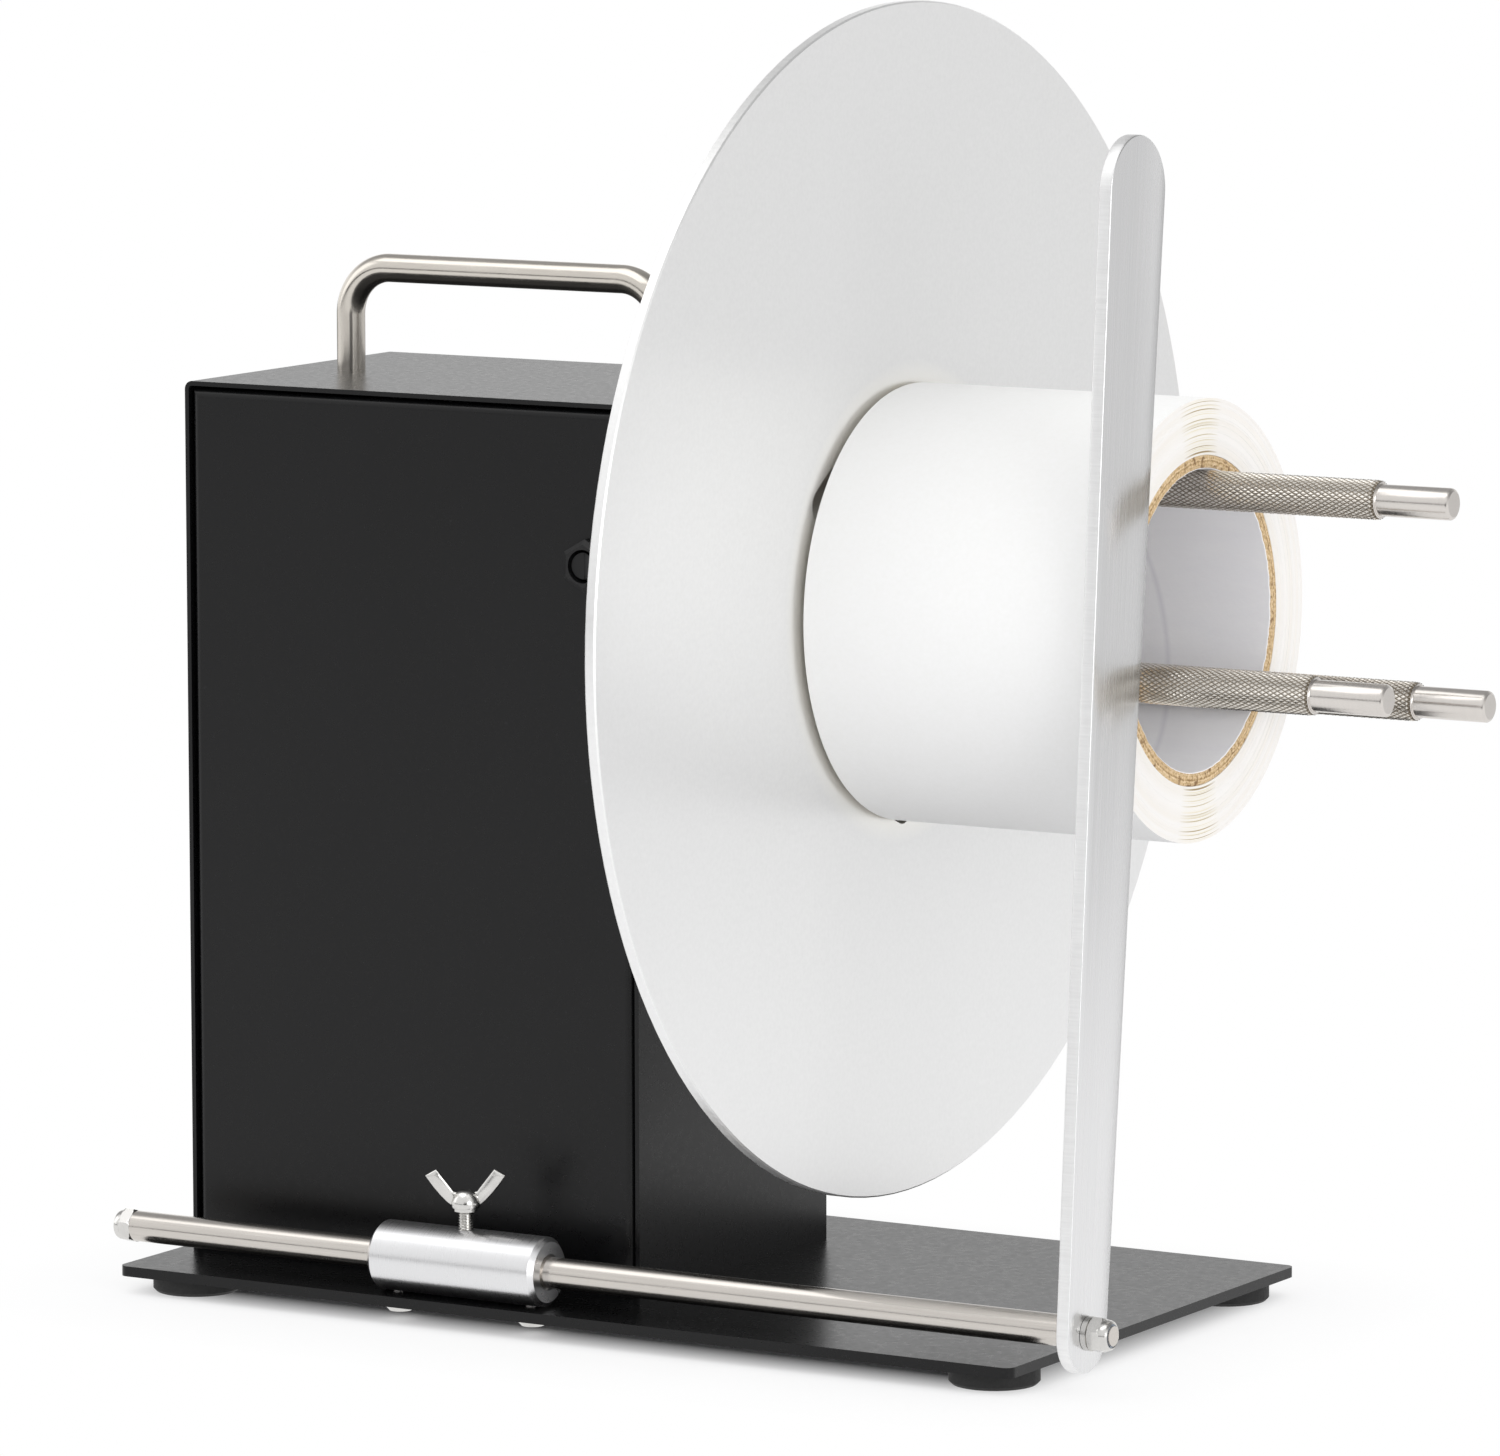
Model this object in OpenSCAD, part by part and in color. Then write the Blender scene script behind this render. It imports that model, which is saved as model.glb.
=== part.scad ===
// Label rewinder: a motor box on a base plate turns a flanged spindle whose three knurled
// posts grip the core of a label roll. A swinging guide arm on a sliding rod keeps the edge true.
// Local frame: X from the housing's left face, Y from its front face, Z from the plate's top.

/* [Base] */
// Thickness of the base plate
plate_t = 2.7; // [2:0.1:5]
// Corner radius of the base plate
plate_r = 2.5; // [2:0.5:12]
// How far the plate reaches past the housing on the left
plate_left = 3.2; // [2:0.2:10]
// How far the plate reaches past the housing at the front
plate_front = 30.2; // [24:0.2:36]
// How far the plate reaches past the housing at the back
plate_back = 27.6; // [20:0.2:50]
// Space between the plate's right edge and the guide arm
plate_right = 13.2; // [4:0.2:30]
// Diameter of a rubber foot
foot_d = 23; // [16:0.5:28]
// Height of a rubber foot
foot_h = 4.7; // [3.6:0.1:8]
// Distance from the plate's front and back edges to a foot's centre
foot_inset = 15; // [13:0.5:24]
// Distance from the plate's left edge to a foot's centre
foot_left = 14.6; // [12:0.2:24]
// Distance from the plate's right edge to a foot's centre
foot_right = 12.8; // [12:0.2:24]

/* [Housing] */
// Width of the housing
housing_w = 137.4; // [130:0.2:160]
// Depth of the housing
housing_d = 95; // [90:0.5:115]
// Height of the housing above the plate
housing_h = 229; // [220:0.5:260]
// Thickness of the sheet steel
sheet_t = 1.2; // [0.8:0.1:2]
// Outside radius of a bent edge
bend_r = 2.2; // [2.1:0.1:4]
// Gap between a panel and the shell around it
panel_gap = 0.7; // [0.4:0.1:1.2]
// Depth of a panel's turned edges
panel_flange = 10; // [8:0.5:13]
// Width of the shell's turned feet
shell_flange = 12; // [10:0.5:16]
// Shank diameter of the screws under the plate
screw_d = 4; // [3:0.5:5]
// Head diameter of those screws
screw_head_d = 8; // [6:0.5:9]
// Head height of those screws
screw_head_h = 2.4; // [1.6:0.1:3]

/* [Carry handle] */
// Distance between the handle's legs
handle_span = 96; // [80:1:110]
// Diameter of the handle's bar
handle_d = 7.5; // [6.5:0.1:10]
// Height of the handle's top above the housing
handle_h = 31; // [27:0.5:45]
// Bend radius of the handle's centre line
handle_bend = 12.5; // [10:0.5:16]
// Length of a handle screw inside its leg
handle_grip = 9; // [6:0.5:12]

/* [Spindle] */
// Height of the spindle's axis above the plate
spindle_z = 177.6; // [170:0.2:185]
// Diameter of the spindle
spindle_d = 15; // [12:0.5:15]
// Running clearance around a shaft
run_gap = 0.05; // [0.02:0.01:0.1]
// Clearance between flat faces that slide
slide_gap = 0.1; // [0.05:0.01:0.3]
// Outside diameter of a spindle bearing
bearing_od = 32; // [28:0.5:35]
// Width of a spindle bearing
bearing_w = 9; // [7:0.5:10]
// Diameter of the bearing housing's flange
bearing_flange_d = 68; // [62:1:76]
// Thickness of that flange
bearing_flange_t = 6; // [4:0.5:8]
// Outside diameter of the bearing housing's barrel
bearing_barrel_d = 42; // [39:0.5:44]
// How far the barrel stands out of the flange, outside and inside the housing
bearing_reach = 10; // [9.5:0.5:12]

/* [Winder] */
// Diameter of the flange disc
disc_d = 304.8; // [290:0.2:306]
// Thickness of the flange disc
disc_t = 3; // [2:0.1:5]
// Space between the housing and the disc
disc_gap = 48.9; // [44:0.1:60]
// Diameter of the jaw plate behind the disc
jaw_d = 126; // [120:1:150]
// Thickness of the jaw plate
jaw_t = 5; // [4:0.5:7]
// Diameter of the hub's boss
boss_d = 25; // [23:0.5:26]
// Diameter of the spigot that centres the disc
spigot_d = 16; // [14:0.5:18]
// Diameter of the disc's retaining washer
retainer_d = 25; // [22:0.5:25.5]
// Thickness of the disc's retaining washer
retainer_t = 2; // [1.5:0.1:3]
// Radius where a curved slot of the disc ends
scroll_r_max = 52.5; // [48:0.5:54]
// Radius where a curved slot of the disc starts
scroll_r_min = 20; // [19:0.5:21]
// Radial travel of a curved slot for each degree of turn
scroll_rate = 0.303; // [0.25:0.001:0.33]
// Clearance of a post's shank in its slots, on the diameter
slot_clear = 1; // [0.6:0.1:1.4]

/* [Core posts] */
// Diameter of a knurled post
post_d = 10; // [9:0.5:11]
// Length of a post in front of the disc
post_len = 151.9; // [140:0.1:170]
// Diameter of a post's smooth tip
tip_d = 8; // [6:0.5:8.5]
// Length of a post's smooth tip
tip_len = 20; // [12:0.5:30]
// Chamfer at a post's tip
tip_chamfer = 0.8; // [0.4:0.1:1.5]
// Diameter of the collar that a post stands on
collar_d = 16; // [13:0.5:16.5]
// Height of that collar
collar_h = 1.2; // [1:0.1:3]
// Shank diameter of a post behind its collar
shank_d = 8; // [6:0.5:8]
// Direction of the first post, from the back upwards
post_angle = 82; // [60:1:110]
// Width across the flats of a post's nut
post_nut_af = 13; // [10:0.5:13]
// Height of a post's nut
post_nut_h = 6.5; // [5:0.5:8]
// Thickness of a post's washer
post_washer_t = 1.6; // [1:0.1:2]

/* [Label roll] */
// Inside diameter of the roll's core
core_id = 76.2; // [74:0.2:80]
// Wall of the roll's core
core_wall = 3.4; // [2:0.1:5]
// Outside diameter of the label roll
roll_d = 111.6; // [104:0.2:112]
// Width of the label roll
roll_w = 82.3; // [60:0.1:84]
// Gap between the core and the posts inside it
core_fit = 0.3; // [0.2:0.05:0.5]
// Gap between the core and the posts' collars
roll_seat = 0.3; // [0.2:0.05:0.5]

/* [Guide rod] */
// Diameter of the guide rod
rod_d = 8; // [6:0.5:9]
// Distance from the plate's front edge to the rod's axis
rod_inset = 9; // [8:0.2:12]
// Diameter of the rod clamp
clamp_d = 18; // [15:0.5:20]
// Length of the rod clamp
clamp_len = 50; // [40:1:60]
// Middle of the clamp, from the housing's left face
clamp_x = 98.4; // [80:0.2:110]
// Distance between the clamp's two screws
clamp_pitch = 40; // [26:1:40]
// Chamfer at the clamp's ends
clamp_chamfer = 1.2; // [0.4:0.1:2]
// Diameter of the studs at the rod's ends
stud_d = 5; // [4:0.5:5]
// Width across the flats of the rod's nuts
rod_nut_af = 8; // [7:0.5:9]
// Height of the hexagon of a rod nut
rod_nut_h = 3.6; // [3:0.1:5]
// Height of the locking ring of a rod nut
rod_ring_h = 1.9; // [1:0.1:3]
// Thickness of the arm's washer
arm_washer_t = 1.4; // [0.6:0.1:1.6]
// How far the stud stands out of the arm's nut
stud_out = 0.3; // [0.2:0.1:3]

/* [Guide arm] */
// Length of the arm between the centres of its round ends
arm_len = 280; // [250:1:290]
// Width of the arm at the pivot
arm_w_low = 20; // [16:0.5:22]
// Width of the arm at the free end
arm_w_high = 28; // [22:0.5:30]
// Thickness of the arm
arm_t = 3.5; // [2:0.1:4]
// Space between the label roll and the arm
arm_gap = 2.4; // [2:0.1:12]
// How far the arm leans back from upright
arm_lean = 5; // [0:0.1:5.5]

/* [Wing screw] */
// Thread diameter of the wing screw
wing_d = 4; // [3:0.5:5]
// Height of its collar above the clamp
wing_rise = 4.4; // [3:0.1:8]
// Diameter of the wing screw's barrel
wing_hub_d = 7.6; // [6:0.1:9]
// Height of the barrel
wing_hub_h = 4.6; // [3:0.1:6]
// Distance between the tips of the wings
wing_span = 20.6; // [17:0.1:24]
// Height of the wings above the barrel's foot
wing_h = 11; // [9:0.1:14]
// Thickness of a wing
wing_t = 1.8; // [1.2:0.1:2.5]
// Direction of the wings, from the rod's axis
wing_angle = 30; // [0:5:90]

/* [Switch] */
// Width across the flats of the six-sided switch bezel
switch_af = 12; // [12:0.1:16]
// How far the bezel stands out of the panel
bezel_t = 2.4; // [1.6:0.1:3]
// Width of the bevel around the bezel's front
bezel_bevel = 1.1; // [0.4:0.1:1.2]
// Diameter of the round pocket that the rocker sits in
switch_bore = 8.6; // [8:0.1:9]
// Distance from the housing's right side to the bezel
switch_inset = 8.8; // [5:0.2:12]
// Height of the switch's middle above the plate
switch_z = 187.6; // [180:0.2:195]
// Angle of the rocker away from level
rocker_tilt = 8; // [4:1:9]
// Clearance around the rocker
rocker_gap = 0.3; // [0.2:0.05:0.5]

/* [Drive] */
// Width of the gearbox along the spindle
gearbox_w = 50; // [40:1:54]
// Height and depth of the gearbox
gearbox_h = 60; // [54:1:64]
// Diameter of the motor
motor_d = 50; // [40:1:52]
// Length of the motor
motor_len = 98; // [80:1:105]
// Thickness of the drive bracket
bracket_t = 3; // [2:0.1:4]
// Width of the drive bracket
bracket_w = 70; // [64:1:76]
// Depth of the drive bracket's foot
bracket_foot = 30; // [24:1:40]
// Distance from the housing's left face to the bracket
bracket_x = 84; // [82:0.5:86]
// Diameter of the gearbox's output shaft
output_d = 10; // [8:0.5:12]
// Diameter of the boss around that shaft
output_boss_d = 26; // [20:0.5:32]
// Length of a gearbox screw inside the gearbox
gearbox_grip = 10; // [6:0.5:12]
// Diameter of the shaft coupling
coupling_d = 28; // [24:1:32]
// Length of the shaft coupling
coupling_len = 28; // [24:1:30]
// Diameter of a set screw
set_screw_d = 5; // [3:0.5:5]
// Side of the control board along the housing's width
board_w = 38; // [30:1:40]
// Side of the control board along the housing's depth
board_d = 60; // [50:1:64]
// Thickness of the control board
board_t = 1.6; // [1:0.1:2]
// Height of the board's standoffs
standoff_h = 8; // [6:0.5:12]
// Diameter of the power jack's barrel
jack_d = 11; // [9:0.5:12]
// Diameter of the hole in the power jack
jack_bore = 6.4; // [5.5:0.1:7]
// Diameter of the contact pin in the power jack
jack_pin = 2.1; // [1.5:0.1:2.5]
// Length of the power jack's barrel
jack_len = 14; // [12:0.5:18]
// Distance from the housing's left face to the power jack
jack_x = 30; // [24:0.5:40]
// Height of the power jack above the plate
jack_z = 38; // [34:0.5:60]

/* [Hidden] */
$fn = 64;
POSTS = 3;

// Overlap that keeps a cut from ending on a face
eps = 0.01;
// Clearance of a screw in its hole, on the diameter
hole_clear = 0.4;

// Colours as photographed
black_coat = [0.13, 0.13, 0.14];
satin_alu = [0.83, 0.83, 0.84];
steel = [0.70, 0.68, 0.65];
bright_steel = [0.78, 0.78, 0.79];
rubber_black = [0.06, 0.06, 0.06];
plastic_black = [0.09, 0.09, 0.09];
paper_white = [0.95, 0.95, 0.94];
card_tan = [0.72, 0.58, 0.42];
board_green = [0.10, 0.32, 0.18];
cast_grey = [0.50, 0.51, 0.52];

// Spindle line, from the housing outwards
spindle_y = housing_d / 2;
disc_back = housing_w + disc_gap;
disc_face = disc_back + disc_t;
jaw_face = disc_back - slide_gap;
jaw_back = jaw_face - jaw_t;
barrel_end = housing_w + bearing_flange_t + bearing_reach;
barrel_start = housing_w - sheet_t - bearing_reach;
hub_back = barrel_end + 2;
spindle_end = jaw_face - 2;
coupling_end = barrel_start - 1.5;
coupling_start = coupling_end - coupling_len;
shaft_meet = (coupling_start + coupling_end) / 2;
bracket_face = bracket_x + bracket_t;
gearbox_x = bracket_x - gearbox_w;

// Posts and the slots that carry them
post_r = core_id / 2 - core_fit - post_d / 2;
post_x = disc_face + slide_gap;
post_tip = disc_face + post_len;
slot_w = shank_d + slot_clear;
scroll_turn = (scroll_r_max - post_r) / scroll_rate;
scroll_back = (post_r - scroll_r_min) / scroll_rate;
shank_end = jaw_back - post_washer_t - post_nut_h - 1;

// Label roll
roll_x = post_x + collar_h + roll_seat;
core_od = core_id + 2 * core_wall;

// Guide rod and arm
rod_x0 = -plate_left;
arm_x = roll_x + roll_w + arm_gap;
rod_x1 = arm_x - slide_gap;
rod_y = rod_inset - plate_front;
rod_z = clamp_d / 2;
washer_x = arm_x + arm_t + slide_gap;
rod_nut_total = rod_nut_h + rod_ring_h;
wing_foot = clamp_d + wing_rise;
clamp_screw_spots = [for (s = [-1, 1]) [clamp_x + s * clamp_pitch / 2, rod_y]];

// Base
plate_x0 = -plate_left;
plate_y0 = -plate_front;
plate_w = plate_left + arm_x - plate_right;
plate_d = plate_front + housing_d + plate_back;
stand_h = plate_t + foot_h;
foot_spots = [for (x = [foot_left, plate_w - foot_right], y = [foot_inset, plate_d - foot_inset])
    [plate_x0 + x, plate_y0 + y]];

// Frame: the middle of the whole width, the spindle's plane and the surface it stands on
left_end = rod_x0 - rod_nut_total;
frame_x = (left_end + post_tip) / 2;

// Housing fastenings
shell_inset = sheet_t + shell_flange / 2;
flange_lap = panel_flange + 2;
panel_screw_x = housing_w / 4;
shell_spots = [for (x = [shell_inset, housing_w - shell_inset], y = [housing_d / 4, housing_d * 3 / 4]) [x, y]];
panel_spots = [for (x = [panel_screw_x, housing_w - panel_screw_x],
    y = [bend_r + panel_flange / 2, housing_d - bend_r - panel_flange / 2]) [x, y]];
housing_spots = concat(shell_spots, panel_spots);
handle_spots = [for (s = [-1, 1]) housing_w / 2 + s * handle_span / 2];
bearing_pcd = (bearing_flange_d + bearing_barrel_d) / 2;
bracket_spots = [for (s = [-1, 1]) [bracket_x - bracket_foot / 2, spindle_y + s * bracket_w / 3]];
gearbox_bolt = gearbox_h / 2 - 7;

// Control board and switch
board_x = sheet_t + shell_flange + 2;
board_y = spindle_y - board_d / 2;
board_inset = 4;
board_spots = [for (x = [board_inset, board_w - board_inset], y = [board_inset, board_d - board_inset])
    [board_x + x, board_y + y]];
switch_x = housing_w - switch_inset - switch_af / 2;
switch_barrel_d = switch_bore + 2;
switch_depth = 14;
rocker_pin_d = 1.8;
rocker_pivot_y = 1.8;
rocker_d = switch_bore - 2 * rocker_gap - 2 * (bezel_t + rocker_pivot_y) * sin(rocker_tilt);

module in_frame() {
    translate([-frame_x, -spindle_y, stand_h]) children();
}

module on_spindle() {
    translate([0, spindle_y, spindle_z]) children();
}

module on_rod() {
    translate([0, rod_y, rod_z]) children();
}

// Extrude a flat outline, drawn in Y and Z, along X
module along_x(x0, x1) {
    translate([x0, 0, 0]) rotate([90, 0, 90]) linear_extrude(x1 - x0) children();
}

module x_rod(d, x0, x1) {
    translate([x0, 0, 0]) rotate([0, 90, 0]) cylinder(d = d, h = x1 - x0);
}

module y_rod(d, y0, y1) {
    translate([0, y0, 0]) rotate([-90, 0, 0]) cylinder(d = d, h = y1 - y0);
}

module x_hex(af, x0, x1) {
    translate([x0, 0, 0]) rotate([0, 90, 0]) cylinder(d = af / cos(30), h = x1 - x0, $fn = 6);
}

// Revolve a profile of [radius, position] points about the X axis
module x_revolve(points) {
    rotate([0, 90, 0]) rotate_extrude() polygon(points);
}

module rounded_rect(w, d, r) {
    translate([r, 0]) square([w - 2 * r, d]);
    translate([0, r]) square([w, d - 2 * r]);
    for (x = [r, w - r], y = [r, d - r]) translate([x, y]) circle(r);
}

// Square with two rounded corners on its lower edge
module round_front(w, d, r) {
    translate([0, r]) square([w, d - r]);
    translate([r, 0]) square([w - 2 * r, r]);
    for (x = [r, w - r]) translate([x, r]) circle(r);
}

// Block whose four front edges are rounded, as a folded tray has them
module folded_block(w, d, h, r) {
    intersection() {
        linear_extrude(h) round_front(w, d, r);
        multmatrix([[0, 0, 1, 0], [0, 1, 0, 0], [1, 0, 0, 0], [0, 0, 0, 1]])
            linear_extrude(w) round_front(h, d, r);
    }
}

// Pan head below Z = 0 and a shank of the given length above it
module pan_screw(d, length, head_d, head_h) {
    cylinder(d = d, h = length);
    translate([0, 0, -head_h]) cylinder(d1 = head_d * 0.72, d2 = head_d, h = head_h / 2);
    translate([0, 0, -head_h / 2]) cylinder(d = head_d, h = head_h / 2);
}

module base_plate() {
    screws = concat(housing_spots, clamp_screw_spots, bracket_spots);
    color(black_coat) in_frame() difference() {
        translate([plate_x0, plate_y0, -plate_t]) linear_extrude(plate_t) rounded_rect(plate_w, plate_d, plate_r);
        for (p = screws)
            translate([p.x, p.y, -plate_t - eps]) cylinder(d = screw_d + hole_clear, h = plate_t + 2 * eps);
    }
}

module rubber_feet() {
    edge = 0.8;
    color(rubber_black) in_frame() for (p = foot_spots)
        translate([p.x, p.y, -stand_h]) {
            cylinder(d1 = foot_d - 2 * edge, d2 = foot_d, h = edge);
            translate([0, 0, edge]) cylinder(d = foot_d, h = foot_h - edge);
        }
}

// Top and sides in one bent sheet, with turned feet that stand on the plate
module housing_shell() {
    inner_r = bend_r - sheet_t;
    color(black_coat) in_frame() difference() {
        union() {
            translate([0, housing_d, housing_h]) rotate([90, 0, 0]) mirror([0, 1, 0]) linear_extrude(housing_d)
                difference() {
                    round_front(housing_w, housing_h, bend_r);
                    translate([sheet_t, sheet_t])
                        round_front(housing_w - 2 * sheet_t, housing_h, inner_r);
                }
            for (x = [sheet_t - eps, housing_w - sheet_t - shell_flange])
                translate([x, flange_lap, 0])
                    cube([shell_flange + eps, housing_d - 2 * flange_lap, sheet_t]);
        }
        on_spindle() x_rod(bearing_barrel_d + hole_clear, housing_w - 2 * sheet_t, housing_w + 1);
        on_spindle() bearing_bolts() x_rod(screw_d + hole_clear, housing_w - 2 * sheet_t, housing_w + 1);
        for (p = shell_spots)
            translate([p.x, p.y, -eps]) cylinder(d = screw_d + hole_clear, h = sheet_t + 2 * eps);
        for (x = handle_spots)
            translate([x, spindle_y, housing_h - 2 * sheet_t]) cylinder(d = screw_d + hole_clear, h = 3 * sheet_t);
    }
}

// Folded tray, its face at Y = 0, that fills the open front or back of the shell
module panel_tray() {
    margin = sheet_t + panel_gap;
    w = housing_w - 2 * margin;
    h = housing_h - margin;
    foot_x = sheet_t + shell_flange + 2;
    translate([margin, 0, 0]) difference() {
        folded_block(w, bend_r + panel_flange, h, bend_r);
        translate([sheet_t, sheet_t, sheet_t])
            folded_block(w - 2 * sheet_t, bend_r + panel_flange, h - 2 * sheet_t, bend_r - sheet_t);
        for (x = [-eps, w - foot_x + margin])
            translate([x, bend_r, -eps]) cube([foot_x - margin + eps, panel_flange + eps, sheet_t + eps]);
    }
}

module panel_holes(y) {
    for (p = panel_spots) if (abs(p.y - y) < housing_d / 2)
        translate([p.x, p.y, -eps]) cylinder(d = screw_d + hole_clear, h = sheet_t + 2 * eps);
}

module front_panel() {
    color(black_coat) in_frame() difference() {
        panel_tray();
        panel_holes(0);
        on_switch() y_rod(switch_barrel_d + hole_clear, -1, sheet_t + 1);
    }
}

module rear_panel() {
    color(black_coat) in_frame() difference() {
        translate([0, housing_d, 0]) mirror([0, 1, 0]) panel_tray();
        panel_holes(housing_d);
        translate([jack_x, housing_d + eps, jack_z]) rotate([90, 0, 0])
            cylinder(d = jack_d + hole_clear, h = sheet_t + 2 * eps);
    }
}

// Screws that come up through the plate into the turned edges of the sheet parts
module housing_screws() {
    color(bright_steel) in_frame() for (p = housing_spots)
        translate([p.x, p.y, -plate_t]) pan_screw(screw_d, plate_t + sheet_t + 3, screw_head_d, screw_head_h);
}

module carry_handle() {
    bar_z = handle_h - handle_d / 2;
    leg_h = bar_z - handle_bend;
    color(steel) in_frame() translate([housing_w / 2, spindle_y, housing_h]) difference() {
        union() {
            x_at = handle_span / 2;
            translate([0, 0, bar_z]) x_rod(handle_d, handle_bend - x_at, x_at - handle_bend);
            for (s = [0, 1]) mirror([s, 0, 0]) {
                translate([x_at, 0, 0]) cylinder(d = handle_d, h = leg_h);
                translate([x_at - handle_bend, 0, leg_h]) rotate([90, 0, 0])
                    rotate_extrude(angle = 90) translate([handle_bend, 0]) circle(d = handle_d);
            }
        }
        for (s = [-1, 1]) translate([s * handle_span / 2, 0, -eps])
            cylinder(d = screw_d + 2 * run_gap, h = handle_grip + 1);
    }
}

module handle_screws() {
    color(bright_steel) in_frame() for (x = handle_spots)
        translate([x, spindle_y, housing_h - sheet_t])
            pan_screw(screw_d, sheet_t + handle_grip, screw_head_d, screw_head_h);
}

module bearing_bolts() {
    for (a = [45:90:315]) rotate([a, 0, 0]) translate([0, bearing_pcd / 2, 0]) children();
}

// Flanged barrel that carries two bearings through the housing's right wall
module bearing_housing() {
    seat_r = bearing_od / 2;
    barrel_r = bearing_barrel_d / 2;
    shoulder_r = seat_r - 2.5;
    flange_end = housing_w + bearing_flange_t;
    color(satin_alu) in_frame() on_spindle() difference() {
        x_revolve([[shoulder_r, barrel_start + bearing_w], [seat_r, barrel_start + bearing_w],
            [seat_r, barrel_start], [barrel_r, barrel_start], [barrel_r, housing_w],
            [bearing_flange_d / 2, housing_w], [bearing_flange_d / 2, flange_end], [barrel_r, flange_end],
            [barrel_r, barrel_end], [seat_r, barrel_end], [seat_r, barrel_end - bearing_w],
            [shoulder_r, barrel_end - bearing_w]]);
        bearing_bolts() x_rod(screw_d + hole_clear, housing_w - 1, flange_end + 1);
    }
}

// One shielded ball bearing, with the recess between its rings on both faces
module ball_bearing(x0) {
    bore_r = spindle_d / 2 + run_gap;
    rim_r = bearing_od / 2 - run_gap;
    ring = (rim_r - bore_r) / 4;
    recess = 0.6;
    x1 = x0 + bearing_w;
    x_revolve([[bore_r, x0], [bore_r + ring, x0], [bore_r + ring, x0 + recess], [rim_r - ring, x0 + recess],
        [rim_r - ring, x0], [rim_r, x0], [rim_r, x1], [rim_r - ring, x1], [rim_r - ring, x1 - recess],
        [bore_r + ring, x1 - recess], [bore_r + ring, x1], [bore_r, x1]]);
}

module spindle_bearings() {
    color(bright_steel) in_frame() on_spindle() for (x = [barrel_start, barrel_end - bearing_w]) ball_bearing(x);
}

module bearing_screws() {
    length = bearing_flange_t + sheet_t + 5;
    color(bright_steel) in_frame() on_spindle() bearing_bolts()
        translate([housing_w + bearing_flange_t, 0, 0]) rotate([0, -90, 0])
            pan_screw(screw_d, length, screw_head_d, screw_head_h);
}

module bearing_nuts() {
    nut_h = 3.2;
    x1 = housing_w - sheet_t;
    color(bright_steel) in_frame() on_spindle() bearing_bolts() difference() {
        x_hex(1.75 * screw_d, x1 - nut_h, x1);
        x_rod(screw_d + 2 * run_gap, x1 - nut_h - eps, x1 + eps);
    }
}

module gearbox_bolts() {
    for (s = [-1, 1], t = [-1, 1]) translate([0, s * gearbox_bolt, t * gearbox_bolt]) children();
}

// Worm gearbox: a cast block with a round output boss that seats in the bracket
module gearbox() {
    bolt_depth = gearbox_grip + 2;
    color(cast_grey) in_frame() on_spindle() difference() {
        union() {
            along_x(gearbox_x, bracket_x) translate([-gearbox_h / 2, -gearbox_h / 2])
                rounded_rect(gearbox_h, gearbox_h, 8);
            x_rod(output_boss_d, bracket_x - eps, bracket_face);
        }
        x_rod(output_d + 2 * run_gap, bracket_x - gearbox_w / 2, bracket_face + 1);
        gearbox_bolts() x_rod(screw_d + 2 * run_gap, bracket_x - bolt_depth, bracket_x + eps);
    }
}

module drive_motor() {
    cap_h = 6;
    top = spindle_z - gearbox_h / 2;
    color(steel) in_frame() translate([gearbox_x + gearbox_w / 2, spindle_y, top - motor_len]) {
        translate([0, 0, cap_h]) cylinder(d = motor_d, h = motor_len - cap_h);
        cylinder(d1 = motor_d - 6, d2 = motor_d - 2, h = cap_h);
        translate([0, 0, -4]) cylinder(d = motor_d / 3, h = 4);
    }
}

// Folded angle that stands on the plate and carries the gearbox
module drive_bracket() {
    height = spindle_z + gearbox_h / 2;
    color(black_coat) in_frame() difference() {
        union() {
            translate([bracket_x, spindle_y - bracket_w / 2, 0]) cube([bracket_t, bracket_w, height]);
            translate([bracket_x - bracket_foot, spindle_y - bracket_w / 2, 0])
                cube([bracket_foot + eps, bracket_w, bracket_t]);
        }
        on_spindle() x_rod(output_boss_d + hole_clear, bracket_x - 1, bracket_face + 1);
        on_spindle() gearbox_bolts() x_rod(screw_d + hole_clear, bracket_x - 1, bracket_face + 1);
        for (p = bracket_spots)
            translate([p.x, p.y, -eps]) cylinder(d = screw_d + hole_clear, h = bracket_t + 2 * eps);
    }
}

module gearbox_screws() {
    color(bright_steel) in_frame() on_spindle() gearbox_bolts() translate([bracket_face, 0, 0])
        rotate([0, -90, 0]) pan_screw(screw_d, bracket_t + gearbox_grip, screw_head_d, screw_head_h);
}

module bracket_screws() {
    color(bright_steel) in_frame() for (p = bracket_spots)
        translate([p.x, p.y, -plate_t]) pan_screw(screw_d, plate_t + bracket_t + 3, screw_head_d, screw_head_h);
}

// Board with its terminal block, driver heat sink and capacitor
module control_board() {
    color(board_green) in_frame() translate([board_x, board_y, standoff_h]) {
        difference() {
            cube([board_w, board_d, board_t]);
            for (p = board_spots) translate([p.x - board_x, p.y - board_y, -eps])
                cylinder(d = 3 + hole_clear, h = board_t + 2 * eps);
        }
        translate([board_w / 4, 1, board_t]) cube([board_w / 2, board_d / 7.5, standoff_h + 1]);
        translate([board_w / 4, board_d * 0.37, board_t]) cube([board_w / 2, board_d / 15, standoff_h * 1.5]);
        translate([board_w / 2, board_d * 3 / 4, board_t]) cylinder(d = board_d / 7.5, h = standoff_h * 1.5);
    }
}

module board_standoffs() {
    color(bright_steel) in_frame() for (p = board_spots) translate([p.x, p.y, 0]) difference() {
        cylinder(d = 6 / cos(30), h = standoff_h, $fn = 6);
        translate([0, 0, standoff_h / 2]) cylinder(d = 3 + 2 * run_gap, h = standoff_h);
    }
}

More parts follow.
